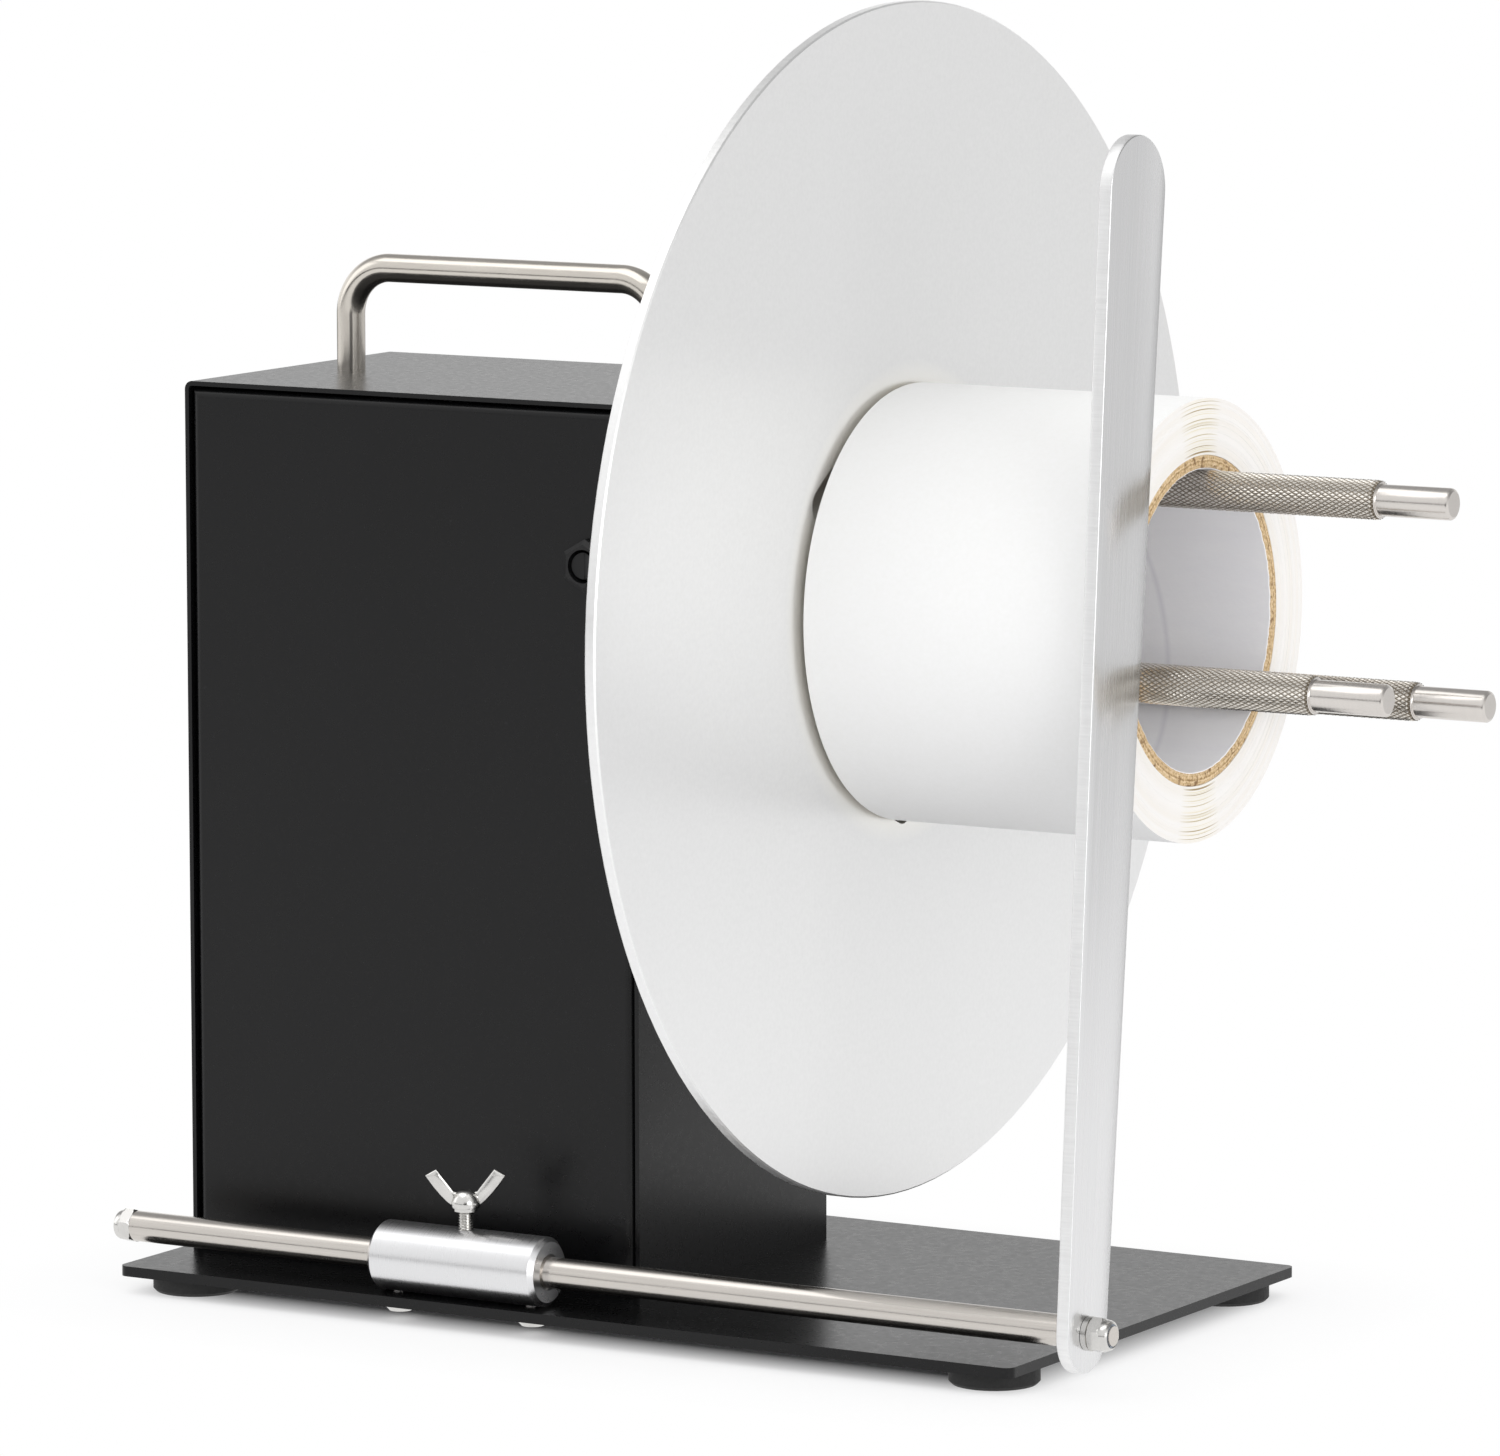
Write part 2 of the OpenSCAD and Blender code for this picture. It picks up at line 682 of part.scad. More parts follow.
module board_screws() {
    color(bright_steel) in_frame() for (p = board_spots)
        translate([p.x, p.y, standoff_h + board_t]) mirror([0, 0, 1])
            pan_screw(3, board_t + standoff_h / 2 - 1, 5.6, 1.8);
}

// Threaded barrel socket: the plug enters from the back, around a contact pin
module power_jack() {
    rim = 1.5;
    color(plastic_black) in_frame() translate([jack_x, housing_d + rim, jack_z]) rotate([90, 0, 0]) {
        difference() {
            union() {
                cylinder(d = jack_d + 3, h = rim);
                cylinder(d = jack_d, h = rim + jack_len);
            }
            translate([0, 0, -eps]) cylinder(d = jack_bore, h = rim + jack_len - 3);
        }
        translate([0, 0, rim]) cylinder(d = jack_pin, h = jack_len - 2);
    }
}

module jack_nut() {
    nut_h = 2.5;
    color(bright_steel) in_frame() translate([jack_x, housing_d - sheet_t, jack_z]) rotate([90, 0, 0])
        difference() {
            cylinder(d = (jack_d + 3) / cos(30), h = nut_h, $fn = 6);
            translate([0, 0, -eps]) cylinder(d = jack_d + 2 * run_gap, h = nut_h + 2 * eps);
        }
}

module on_switch() {
    translate([switch_x, 0, switch_z]) children();
}

// Six-sided bezel, bevelled in front of the panel, with the round barrel and two tabs behind it
module switch_body() {
    color(plastic_black) in_frame() on_switch() difference() {
        union() {
            rotate([90, 0, 0]) rotate(90) bevelled_hex(switch_af, bezel_t, bezel_bevel);
            y_rod(switch_barrel_d, -eps, switch_depth);
            for (s = [-1, 1])
                translate([s * switch_bore / 4 - 0.4, switch_depth - eps, -2]) cube([0.8, 6, 4]);
        }
        y_rod(switch_bore, -bezel_t - 1, 7);
        translate([0, rocker_pivot_y, -switch_barrel_d / 2 + 0.2])
            cylinder(d = rocker_pin_d + 2 * run_gap, h = switch_barrel_d - 0.4);
    }
}

// Six-sided plate on Z = 0 whose upper edges are bevelled
module bevelled_hex(af, h, bevel) {
    outer = [for (i = [0:5]) af / 2 / cos(30) * [cos(60 * i), sin(60 * i)]];
    inner = [for (i = [0:5]) (af / 2 - bevel) / cos(30) * [cos(60 * i), sin(60 * i)]];
    side = h - bevel;
    low = [for (p = outer) [p.x, p.y, 0]];
    mid = [for (p = outer) [p.x, p.y, side]];
    top = [for (p = inner) [p.x, p.y, h]];
    walls = [for (k = [0, 6], i = [0:5]) [k + i, k + 6 + i, k + 6 + (i + 1) % 6, k + (i + 1) % 6]];
    polyhedron(concat(low, mid, top), concat([[0, 1, 2, 3, 4, 5]], walls, [[17, 16, 15, 14, 13, 12]]));
}

// Round dished rocker on two stub pins, at rest with its left end down
module switch_rocker() {
    half = rocker_d / 2;
    crest = bezel_t + rocker_pivot_y - 0.6;
    dish = crest - 0.8;
    pin_len = switch_bore + 1.2;
    color(plastic_black) in_frame() on_switch() translate([0, rocker_pivot_y, 0]) rotate([0, 0, -rocker_tilt]) {
        intersection() {
            translate([0, 0, -rocker_d / 2]) linear_extrude(rocker_d)
                polygon([[-half, -crest], [0, -dish], [half, -crest], [half, -1], [half / 2, 2], [-half / 2, 2],
                    [-half, -1]]);
            y_rod(rocker_d, -crest - 1, 3);
        }
        translate([0, 0, -pin_len / 2]) cylinder(d = rocker_pin_d, h = pin_len);
    }
}

module output_shaft() {
    color(bright_steel) in_frame() on_spindle() x_rod(output_d, bracket_x - gearbox_w / 2 + 0.5, shaft_meet - 0.5);
}

// Sleeve with a bore for each shaft, clamped by set screws
module shaft_coupling() {
    color(satin_alu) in_frame() on_spindle() difference() {
        x_rod(coupling_d, coupling_start, coupling_end);
        x_rod(output_d + 2 * run_gap, coupling_start - 1, shaft_meet);
        x_rod(spindle_d + 2 * run_gap, shaft_meet - eps, coupling_end + 1);
        for (x = coupling_screw_x) translate([x, 0, 0]) cylinder(d = set_screw_d + 2 * run_gap, h = coupling_d);
    }
}

coupling_screw_x = [(coupling_start + shaft_meet) / 2, (shaft_meet + coupling_end) / 2];
hub_screw_x = (hub_back + jaw_back - post_washer_t - post_nut_h) / 2;

module spindle() {
    chamfer = 0.8;
    r = spindle_d / 2;
    x0 = shaft_meet + 0.5;
    color(bright_steel) in_frame() on_spindle()
        x_revolve([[0, x0], [r - chamfer, x0], [r, x0 + chamfer], [r, spindle_end - chamfer],
            [r - chamfer, spindle_end], [0, spindle_end]]);
}

// Hub boss and jaw plate in one turned piece; the posts slide in its three straight slots
module jaw_hub() {
    spigot_end = disc_face;
    slot_in = scroll_r_min;
    slot_out = scroll_r_max;
    bore_end = spindle_end + 0.5;
    color(satin_alu) in_frame() on_spindle() difference() {
        x_revolve([[0, hub_back], [boss_d / 2, hub_back], [boss_d / 2, jaw_back], [jaw_d / 2, jaw_back],
            [jaw_d / 2, jaw_face], [spigot_d / 2, jaw_face], [spigot_d / 2, spigot_end], [0, spigot_end]]);
        x_rod(spindle_d + 2 * run_gap, hub_back - 1, bore_end);
        x_rod(screw_d + 2 * run_gap, bore_end - eps, spigot_end + 1);
        translate([hub_screw_x, 0, 0]) cylinder(d = set_screw_d + 2 * run_gap, h = boss_d);
        for (i = [0:POSTS - 1]) along_x(jaw_back - 1, jaw_face + 1) rotate(post_direction(i)) {
            translate([slot_in, -slot_w / 2]) square([slot_out - slot_in, slot_w]);
            for (r = [slot_in, slot_out]) translate([r, 0]) circle(d = slot_w);
        }
    }
}

module set_screws() {
    color(rubber_black) in_frame() on_spindle() {
        translate([hub_screw_x, 0, spindle_d / 2 + run_gap])
            cylinder(d = set_screw_d, h = boss_d / 2 - spindle_d / 2 - 2 * run_gap);
        translate([coupling_screw_x[0], 0, output_d / 2 + run_gap])
            cylinder(d = set_screw_d, h = (coupling_d - output_d) / 2 - 2 * run_gap);
        translate([coupling_screw_x[1], 0, spindle_d / 2 + run_gap])
            cylinder(d = set_screw_d, h = (coupling_d - spindle_d) / 2 - 2 * run_gap);
    }
}

module disc_retainer() {
    x0 = disc_face + slide_gap;
    color(bright_steel) in_frame() on_spindle() difference() {
        x_rod(retainer_d, x0, x0 + retainer_t);
        x_rod(screw_d + hole_clear, x0 - 1, x0 + retainer_t + 1);
    }
}

module retainer_screw() {
    x0 = disc_face + slide_gap + retainer_t;
    length = x0 - spindle_end - 1;
    color(bright_steel) in_frame() on_spindle() translate([x0, 0, 0]) rotate([0, -90, 0])
        pan_screw(screw_d, length, screw_head_d, screw_head_h);
}

function post_direction(i) = post_angle + i * 360 / POSTS;

// Spiral that moves a post outwards by the same amount for each degree of turn
function scroll_r(a) = post_r + scroll_rate * a;
// Point on the slot's edge: 0 is the outer side, 90 forwards, 180 the inner side, 270 backwards
function scroll_point(a, way) =
    let (r = scroll_r(a), climb = scroll_rate * 180 / PI, reach = slot_w / 2 / sqrt(r * r + climb * climb),
        out = r * cos(way) + climb * sin(way), along = r * sin(way) - climb * cos(way))
    [(r + reach * out) * cos(a) - reach * along * sin(a), (r + reach * out) * sin(a) + reach * along * cos(a)];

module scroll_slot() {
    steps = 24;
    end_step = 15;
    span = scroll_turn + scroll_back;
    turn = [for (i = [0:steps]) -scroll_back + span * i / steps];
    polygon(concat(
        [for (a = turn) scroll_point(a, 0)],
        [for (way = [end_step:end_step:180 - end_step]) scroll_point(scroll_turn, way)],
        [for (i = [steps:-1:0]) scroll_point(turn[i], 180)],
        [for (way = [180 + end_step:end_step:360 - end_step]) scroll_point(-scroll_back, way)]));
}

// Large flange disc; turning it on the hub drives the three posts in or out along its curved slots
module flange_disc() {
    edge = 0.4;
    r = disc_d / 2;
    bore_r = spigot_d / 2 + run_gap;
    color(satin_alu) in_frame() on_spindle() difference() {
        x_revolve([[bore_r, disc_back], [r - edge, disc_back], [r, disc_back + edge], [r, disc_face - edge],
            [r - edge, disc_face], [bore_r, disc_face]]);
        for (i = [0:POSTS - 1]) along_x(disc_back - 1, disc_face + 1) rotate(post_direction(i)) scroll_slot();
    }
}

module on_post(i) {
    on_spindle() rotate([post_direction(i), 0, 0]) translate([0, post_r, 0]) children();
}

// Knurled post with a stepped tip, on a collar that slides over the disc; its shank takes the nut
module core_post(i) {
    knurl_end = post_tip - tip_len;
    body_r = post_d / 2;
    tip_r = tip_d / 2;
    color(steel) in_frame() on_post(i)
        x_revolve([[0, shank_end], [shank_d / 2, shank_end], [shank_d / 2, post_x], [collar_d / 2, post_x],
            [collar_d / 2, post_x + collar_h], [body_r, post_x + collar_h],
            [body_r, knurl_end - tip_chamfer], [body_r - tip_chamfer, knurl_end], [tip_r, knurl_end],
            [tip_r, post_tip - tip_chamfer], [tip_r - tip_chamfer, post_tip], [0, post_tip]]);
}

module post_washer(i) {
    x1 = jaw_back - slide_gap;
    color(bright_steel) in_frame() on_post(i) difference() {
        x_rod(collar_d, x1 - post_washer_t, x1);
        x_rod(shank_d + 2 * run_gap, x1 - post_washer_t - 1, x1 + 1);
    }
}

module post_nut(i) {
    x1 = jaw_back - slide_gap - post_washer_t;
    color(bright_steel) in_frame() on_post(i) difference() {
        x_hex(post_nut_af, x1 - post_nut_h, x1);
        x_rod(shank_d + 2 * run_gap, x1 - post_nut_h - 1, x1 + 1);
    }
}

module roll_core() {
    color(card_tan) in_frame() on_spindle() difference() {
        x_rod(core_od, roll_x, roll_x + roll_w);
        x_rod(core_id, roll_x - 1, roll_x + roll_w + 1);
    }
}

module label_roll() {
    color(paper_white) in_frame() on_spindle() difference() {
        x_rod(roll_d, roll_x, roll_x + roll_w);
        x_rod(core_od + 2 * run_gap, roll_x - 1, roll_x + roll_w + 1);
    }
}

// Round bar, drilled along for the rod and across for the wing screw, screwed down from below
module rod_clamp() {
    x0 = clamp_x - clamp_len / 2;
    x1 = clamp_x + clamp_len / 2;
    r = clamp_d / 2;
    color(satin_alu) in_frame() on_rod() difference() {
        x_revolve([[0, x0], [r - clamp_chamfer, x0], [r, x0 + clamp_chamfer], [r, x1 - clamp_chamfer],
            [r - clamp_chamfer, x1], [0, x1]]);
        x_rod(rod_d + 2 * run_gap, x0 - 1, x1 + 1);
        for (s = [-1, 1]) translate([clamp_x + s * (clamp_len / 2 + 0.1), 0, 0]) rotate([0, -s * 90, 0])
            cylinder(d1 = rod_d + 1.6, d2 = rod_d - 0.4, h = 1);
        translate([clamp_x, 0, 0]) cylinder(d = wing_d + 2 * run_gap, h = clamp_d);
        for (p = clamp_screw_spots) translate([p.x, 0, -clamp_d])
            cylinder(d = screw_d + 2 * run_gap, h = clamp_d - rod_d / 2 - 0.5);
    }
}

module clamp_screws() {
    reach = (clamp_d - rod_d) / 2 - 1;
    color(bright_steel) in_frame() for (p = clamp_screw_spots)
        translate([p.x, p.y, -plate_t]) pan_screw(screw_d, plate_t + reach, screw_head_d, screw_head_h);
}

// One wing, drawn in X and Z: it leaves the barrel low, bends upwards and ends in a square tip
module wing_outline() {
    tip = wing_span / 2;
    shape = [[0.37, 0.17], [0.5, 0.27], [0.63, 0.4], [0.81, 0.59], [1, 0.85], [0.72, 1], [0.52, 0.77], [0.33, 0.53]];
    polygon(concat([[0, wing_h * 0.12]], [for (p = shape) [p.x * tip, p.y * wing_h]],
        [[tip * 0.3, wing_hub_h], [0, wing_hub_h]]));
}

module wing_screw() {
    dome_h = 1;
    shank = wing_foot - rod_z - rod_d / 2 - slide_gap;
    color(bright_steel) in_frame() translate([clamp_x, rod_y, wing_foot]) rotate([0, 0, wing_angle]) {
        translate([0, 0, -shank]) cylinder(d = wing_d, h = shank + 1);
        cylinder(d1 = wing_hub_d - 1, d2 = wing_hub_d, h = 0.5);
        translate([0, 0, 0.5]) cylinder(d = wing_hub_d, h = wing_hub_h - 0.5);
        translate([0, 0, wing_hub_h]) cylinder(d1 = wing_hub_d, d2 = wing_hub_d * 0.6, h = dome_h);
        for (s = [0, 1]) mirror([s, 0, 0])
            translate([0, wing_t / 2, 0]) rotate([90, 0, 0]) linear_extrude(wing_t) wing_outline();
    }
}

// Plain rod with a turned stud at each end
module guide_rod() {
    left_stud = rod_x0 - rod_nut_total + 0.6;
    right_stud = washer_x + arm_washer_t + rod_nut_total + stud_out;
    color(steel) in_frame() on_rod() {
        x_rod(rod_d, rod_x0, rod_x1);
        x_rod(stud_d, left_stud, rod_x0 + eps);
        x_rod(stud_d, rod_x1 - eps, right_stud);
    }
}

// Hexagon with a domed locking ring on the side that faces away from the rod
module lock_nut(x0) {
    ring_d = rod_nut_af * 0.97;
    translate([x0, 0, 0]) difference() {
        union() {
            x_hex(rod_nut_af, 0, rod_nut_h);
            x_rod(ring_d, rod_nut_h - eps, rod_nut_h + rod_ring_h / 2);
            translate([rod_nut_h + rod_ring_h / 2, 0, 0]) rotate([0, 90, 0])
                cylinder(d1 = ring_d, d2 = ring_d * 0.8, h = rod_ring_h / 2);
        }
        x_rod(stud_d + 2 * run_gap, -1, rod_nut_total + 1);
    }
}

module rod_end_nut() {
    color(bright_steel) in_frame() on_rod() translate([rod_x0, 0, 0]) mirror([1, 0, 0]) lock_nut(0);
}

module arm_washer() {
    color(bright_steel) in_frame() on_rod() difference() {
        x_rod(1.72 * stud_d, washer_x, washer_x + arm_washer_t);
        x_rod(stud_d + 2 * run_gap, washer_x - 1, washer_x + arm_washer_t + 1);
    }
}

module arm_nut() {
    color(bright_steel) in_frame() on_rod() lock_nut(washer_x + arm_washer_t);
}

// Tapered bar with round ends: two circles and the straight edges that touch both
module arm_outline() {
    r0 = arm_w_low / 2;
    r1 = arm_w_high / 2;
    lean = asin((r0 - r1) / arm_len);
    touch = [cos(lean), sin(lean)];
    circle(r0);
    translate([0, arm_len]) circle(r1);
    polygon([[r0 * touch.x, r0 * touch.y], [r1 * touch.x, arm_len + r1 * touch.y],
        [-r1 * touch.x, arm_len + r1 * touch.y], [-r0 * touch.x, r0 * touch.y]]);
}

module guide_arm() {
    color(satin_alu) in_frame() on_rod() difference() {
        along_x(arm_x, arm_x + arm_t) rotate(-arm_lean) arm_outline();
        x_rod(stud_d + 2 * run_gap, arm_x - 1, arm_x + arm_t + 1);
    }
}

base_plate();
rubber_feet();
housing_shell();
front_panel();
rear_panel();
housing_screws();
carry_handle();
handle_screws();
bearing_housing();
spindle_bearings();
bearing_screws();
bearing_nuts();
gearbox();
drive_motor();
drive_bracket();
gearbox_screws();
bracket_screws();
control_board();
board_standoffs();
board_screws();
power_jack();
jack_nut();
switch_body();
switch_rocker();
output_shaft();
shaft_coupling();
spindle();
jaw_hub();
set_screws();
disc_retainer();
retainer_screw();
flange_disc();
roll_core();
label_roll();
for (i = [0:POSTS - 1]) {
    core_post(i);
    post_washer(i);
    post_nut(i);
}
rod_clamp();
clamp_screws();
wing_screw();
guide_rod();
rod_end_nut();
arm_washer();
arm_nut();
guide_arm();
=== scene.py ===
import math
import random

import bmesh
import bpy
from mathutils import Matrix, Vector

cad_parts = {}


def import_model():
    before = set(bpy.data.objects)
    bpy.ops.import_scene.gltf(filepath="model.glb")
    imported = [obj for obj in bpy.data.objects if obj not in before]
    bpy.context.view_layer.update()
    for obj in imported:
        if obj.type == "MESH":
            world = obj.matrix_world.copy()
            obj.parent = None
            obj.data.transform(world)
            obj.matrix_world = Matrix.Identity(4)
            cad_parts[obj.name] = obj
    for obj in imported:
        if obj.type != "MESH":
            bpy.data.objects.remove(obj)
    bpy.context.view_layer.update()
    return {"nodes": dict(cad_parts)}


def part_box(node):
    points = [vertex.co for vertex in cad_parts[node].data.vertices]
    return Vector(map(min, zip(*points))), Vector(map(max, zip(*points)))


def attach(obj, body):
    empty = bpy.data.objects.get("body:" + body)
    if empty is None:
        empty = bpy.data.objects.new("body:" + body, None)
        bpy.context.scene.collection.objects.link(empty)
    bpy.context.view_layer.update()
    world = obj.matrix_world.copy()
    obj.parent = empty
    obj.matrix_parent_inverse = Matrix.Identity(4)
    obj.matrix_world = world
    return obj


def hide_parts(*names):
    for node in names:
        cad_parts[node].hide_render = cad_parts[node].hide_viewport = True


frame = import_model()
NODES = frame["nodes"]
MM = 0.001


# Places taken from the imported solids

def middle(node):
    low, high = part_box(node)
    return (Vector(low) + Vector(high)) / 2


SPINDLE = middle("spindle")
ROD = middle("guide_rod")
DISC_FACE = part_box("flange_disc")[1][0]
DISC_R = (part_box("flange_disc")[1][2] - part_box("flange_disc")[0][2]) / 2
ROLL_LOW, ROLL_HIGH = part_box("label_roll")
CORE_LOW, CORE_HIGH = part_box("roll_core")
ROLL_R = (ROLL_HIGH[2] - ROLL_LOW[2]) / 2
CORE_OUT_R = (CORE_HIGH[2] - CORE_LOW[2]) / 2

# Sizes repeated from the part's source

CORE_IN_R = 38.1 * MM
POST_R = 5.0 * MM
TIP_R = 4.0 * MM
TIP_LEN = 20.0 * MM
COLLAR_R = 8.0 * MM
COLLAR_H = 1.2 * MM
COLLAR_GAP = 0.1 * MM
SHANK_R = 4.0 * MM
POST_NUT_FLATS = 13.0 * MM
POST_ANGLES = {1: 82.0, 2: 202.0, 3: 322.0}
POST_CENTRE_R = 32.8 * MM
WING_H = 11.0 * MM
WING_T = 1.8 * MM
WING_ANGLE = math.radians(30)
HANDLE_BEND = 12.5 * MM
ARM_LOW_R = 10.0 * MM
ARM_TOP_R = 14.0 * MM
ARM_LEN = 280.0 * MM
ARM_LEAN = math.radians(5.0)

# Sizes of the finer forms

KNURL_TEETH = 27
KNURL_DEPTH = 0.30 * MM
KNURL_STRETCH = 1.75               # length of a diamond for its width
ROLL_LAYERS = 46
LAYER_STEP = 0.28 * MM             # most that a layer stands back
CORE_SEGMENTS = 192
FRAY = 0.14 * MM


def post_centre(index, x=0.0):
    a = math.radians(POST_ANGLES[index])
    return Vector((x, POST_CENTRE_R * math.cos(a), SPINDLE.z + POST_CENTRE_R * math.sin(a)))


# Procedural materials

NOISE_LOW, NOISE_HIGH = 0.3, 0.7   # most of a noise pattern lies between these
BLACK = (0, 0, 0)
WHITE = (1, 1, 1)


class Nodes:
    """A node tree, with short ways to add the nodes that this part needs."""

    def __init__(self, tree):
        self.tree = tree

    def feed(self, socket, value):
        """Links a node's output to a socket, or sets a plain value on it."""
        if isinstance(value, bpy.types.NodeSocket):
            self.tree.links.new(value, socket)
        else:
            socket.default_value = value

    def add(self, kind, inputs=None, **settings):
        node = self.tree.nodes.new(kind)
        for key, value in settings.items():
            setattr(node, key, value)
        for key, value in (inputs or {}).items():
            self.feed(node.inputs[key], value)
        return node

    def math(self, operation, a, b=0.0):
        return self.add("ShaderNodeMath", {0: a, 1: b}, operation=operation).outputs[0]

    def vector(self, operation, a, b=(0, 0, 0)):
        return self.add("ShaderNodeVectorMath", {0: a, 1: b}, operation=operation).outputs

    def part(self, value, axis):
        return self.add("ShaderNodeSeparateXYZ", {0: value}).outputs[axis]

    def span(self, value, low, high, start=NOISE_LOW, stop=NOISE_HIGH):
        """Maps a pattern from start..stop to low..high."""
        inputs = {"Value": value, "From Min": start, "From Max": stop, "To Min": low, "To Max": high}
        return self.add("ShaderNodeMapRange", inputs).outputs["Result"]

    def between(self, factor, a, b):
        """Goes from one number to another as the factor goes from 0 to 1."""
        return self.add("ShaderNodeMix", {0: factor, 2: a, 3: b}).outputs[0]


class Shader(Nodes):
    """A principled material and the patterns that go into it."""

    def __init__(self, name, color, roughness, metallic=0.0, **sockets):
        self.material = bpy.data.materials.new(name)
        self.material.use_nodes = True
        super().__init__(self.material.node_tree)
        self.bsdf = self.tree.nodes["Principled BSDF"]
        self.set("Base Color", (*color, 1.0))
        self.set("Roughness", roughness)
        self.set("Metallic", metallic)
        for key, value in sockets.items():
            self.set(key.replace("_", " "), value)
        self.coords = self.add("ShaderNodeTexCoord").outputs["Object"]
        self.normal = None

    def set(self, socket, value):
        self.feed(self.bsdf.inputs[socket], value)

    def noise(self, scale, detail=3.0, stretch=(1, 1, 1), turn=(0, 0, 0), roughness=0.55):
        turned = self.add("ShaderNodeMapping", {"Vector": self.coords, "Rotation": turn})
        place = self.add("ShaderNodeMapping", {"Vector": turned.outputs[0], "Scale": stretch})
        inputs = {"Vector": place.outputs[0], "Scale": scale, "Detail": detail, "Roughness": roughness}
        return self.add("ShaderNodeTexNoise", inputs).outputs["Fac"]

    def line_noise(self, value, scale, detail=2.0):
        inputs = {"W": value, "Scale": scale, "Detail": detail}
        return self.add("ShaderNodeTexNoise", inputs, noise_dimensions="1D").outputs["Fac"]

    def radius(self, centre):
        """Distance from the X axis through a point."""
        off = self.vector("SUBTRACT", self.coords, centre)[0]
        flat = self.vector("MULTIPLY", off, (0, 1, 1))[0]
        return self.vector("LENGTH", flat)["Value"]

    def facing_x(self):
        """How squarely a face looks along X: 1 on a flat end, 0 on the sides."""
        normal = self.add("ShaderNodeNewGeometry").outputs["True Normal"]
        return self.math("ABSOLUTE", self.part(normal, "X"))

    def ramp(self, value, stops):
        node = self.add("ShaderNodeValToRGB", {"Fac": value})
        elements = node.color_ramp.elements
        while len(elements) < len(stops):
            elements.new(0.5)
        for element, (at, color) in zip(elements, stops):
            element.position = at
            element.color = (*color, 1.0)
        return node.outputs["Color"]

    def mix(self, factor, a, b):
        """Goes from one colour to another as the factor goes from 0 to 1."""
        colors = [c if isinstance(c, bpy.types.NodeSocket) else (*c, 1.0) for c in (a, b)]
        node = self.add("ShaderNodeMix", {}, data_type="RGBA")
        for index, value in ((0, factor), (6, colors[0]), (7, colors[1])):
            self.feed(node.inputs[index], value)
        return node.outputs[2]

    def clouded(self, color, worn, scale):
        """A colour with faint, large clouds of a worn one."""
        return self.mix(self.span(self.noise(scale), 0.0, 0.35), color, worn)

    def color(self, value):
        self.set("Base Color", value)

    def rough(self, value, low, high):
        self.set("Roughness", self.span(value, low, high))

    def bump(self, value, strength, distance):
        inputs = {"Height": value, "Strength": strength, "Distance": distance}
        if self.normal is not None:
            inputs["Normal"] = self.normal
        self.normal = self.add("ShaderNodeBump", inputs).outputs["Normal"]
        self.set("Normal", self.normal)


def scaled(color, share):
    return tuple(c * share for c in color)


def shades(color, low, high):
    return [(NOISE_LOW, scaled(color, low)), (NOISE_HIGH, scaled(color, high))]


def powder_coat(name, tone, roughness):
    """Semi-matt coat: a fine pebbled grain, slight change of gloss and rare pale specks of dust."""
    s = Shader(name, tone, roughness, Specular_IOR_Level=0.29)
    speck = s.ramp(s.noise(420, detail=1.0), [(0.75, BLACK), (0.80, WHITE)])
    base = s.ramp(s.noise(22), shades(tone, 0.92, 1.08))
    s.color(s.mix(speck, base, scaled(tone, 2.5)))
    s.rough(s.noise(600), roughness - 0.03, roughness + 0.03)
    s.bump(s.noise(2600, detail=2.0), 0.07, 0.02 * MM)
    return s.material


def brushed(name, color, roughness, stretch, depth=0.25, scale=1800, vary=1.0):
    """Metal with fine streaks along the short axis of stretch, and a faint cloud of wear."""
    s = Shader(name, color, roughness, 1.0)
    streak = s.noise(scale, 6.0, stretch, roughness=0.7)
    toned = s.ramp(streak, shades(color, 1 - 0.07 * vary, 1 + 0.05 * vary))
    s.color(s.clouded(toned, scaled(color, 0.94), 30))
    s.rough(streak, roughness - 0.06 * vary, roughness + 0.08 * vary)
    s.bump(streak, depth, 0.02 * MM)
    return s.material


def arm_metal():
    """Flat bar: fine streaks along its two faces, and duller sawn edges with short scratches across."""
    color, worn_color, sawn_color = (0.80, 0.80, 0.805), (0.76, 0.76, 0.765), (0.88, 0.88, 0.88)
    s = Shader("brushed_arm", color, 0.24, 1.0)
    streak = s.noise(1500, 6.0, (1, 1, 0.008), (ARM_LEAN, 0, 0), 0.7)
    sawn = s.noise(1800, 4.0, (0.06, 0.3, 1))
    edge = s.span(s.facing_x(), 1.0, 0.0, 0.3, 0.8)
    face = s.clouded(s.ramp(streak, shades(color, 0.94, 1.04)), worn_color, 30)
    s.color(s.mix(edge, face, s.ramp(sawn, shades(sawn_color, 0.95, 1.03))))
    s.set("Roughness", s.between(edge, s.span(streak, 0.19, 0.31), s.span(sawn, 0.46, 0.58)))
    s.bump(streak, 0.3, 0.02 * MM)
    return s.material


def plated(name, color, roughness):
    """Bright plating: small clouds of tarnish and very fine pits."""
    s = Shader(name, color, roughness, 1.0)
    cloud = s.noise(260, 4.0)
    s.color(s.ramp(cloud, shades(color, 0.9, 1.04)))
    s.rough(cloud, roughness - 0.04, roughness + 0.1)
    s.bump(s.noise(1800, 2.0), 0.12, 0.015 * MM)
    return s.material


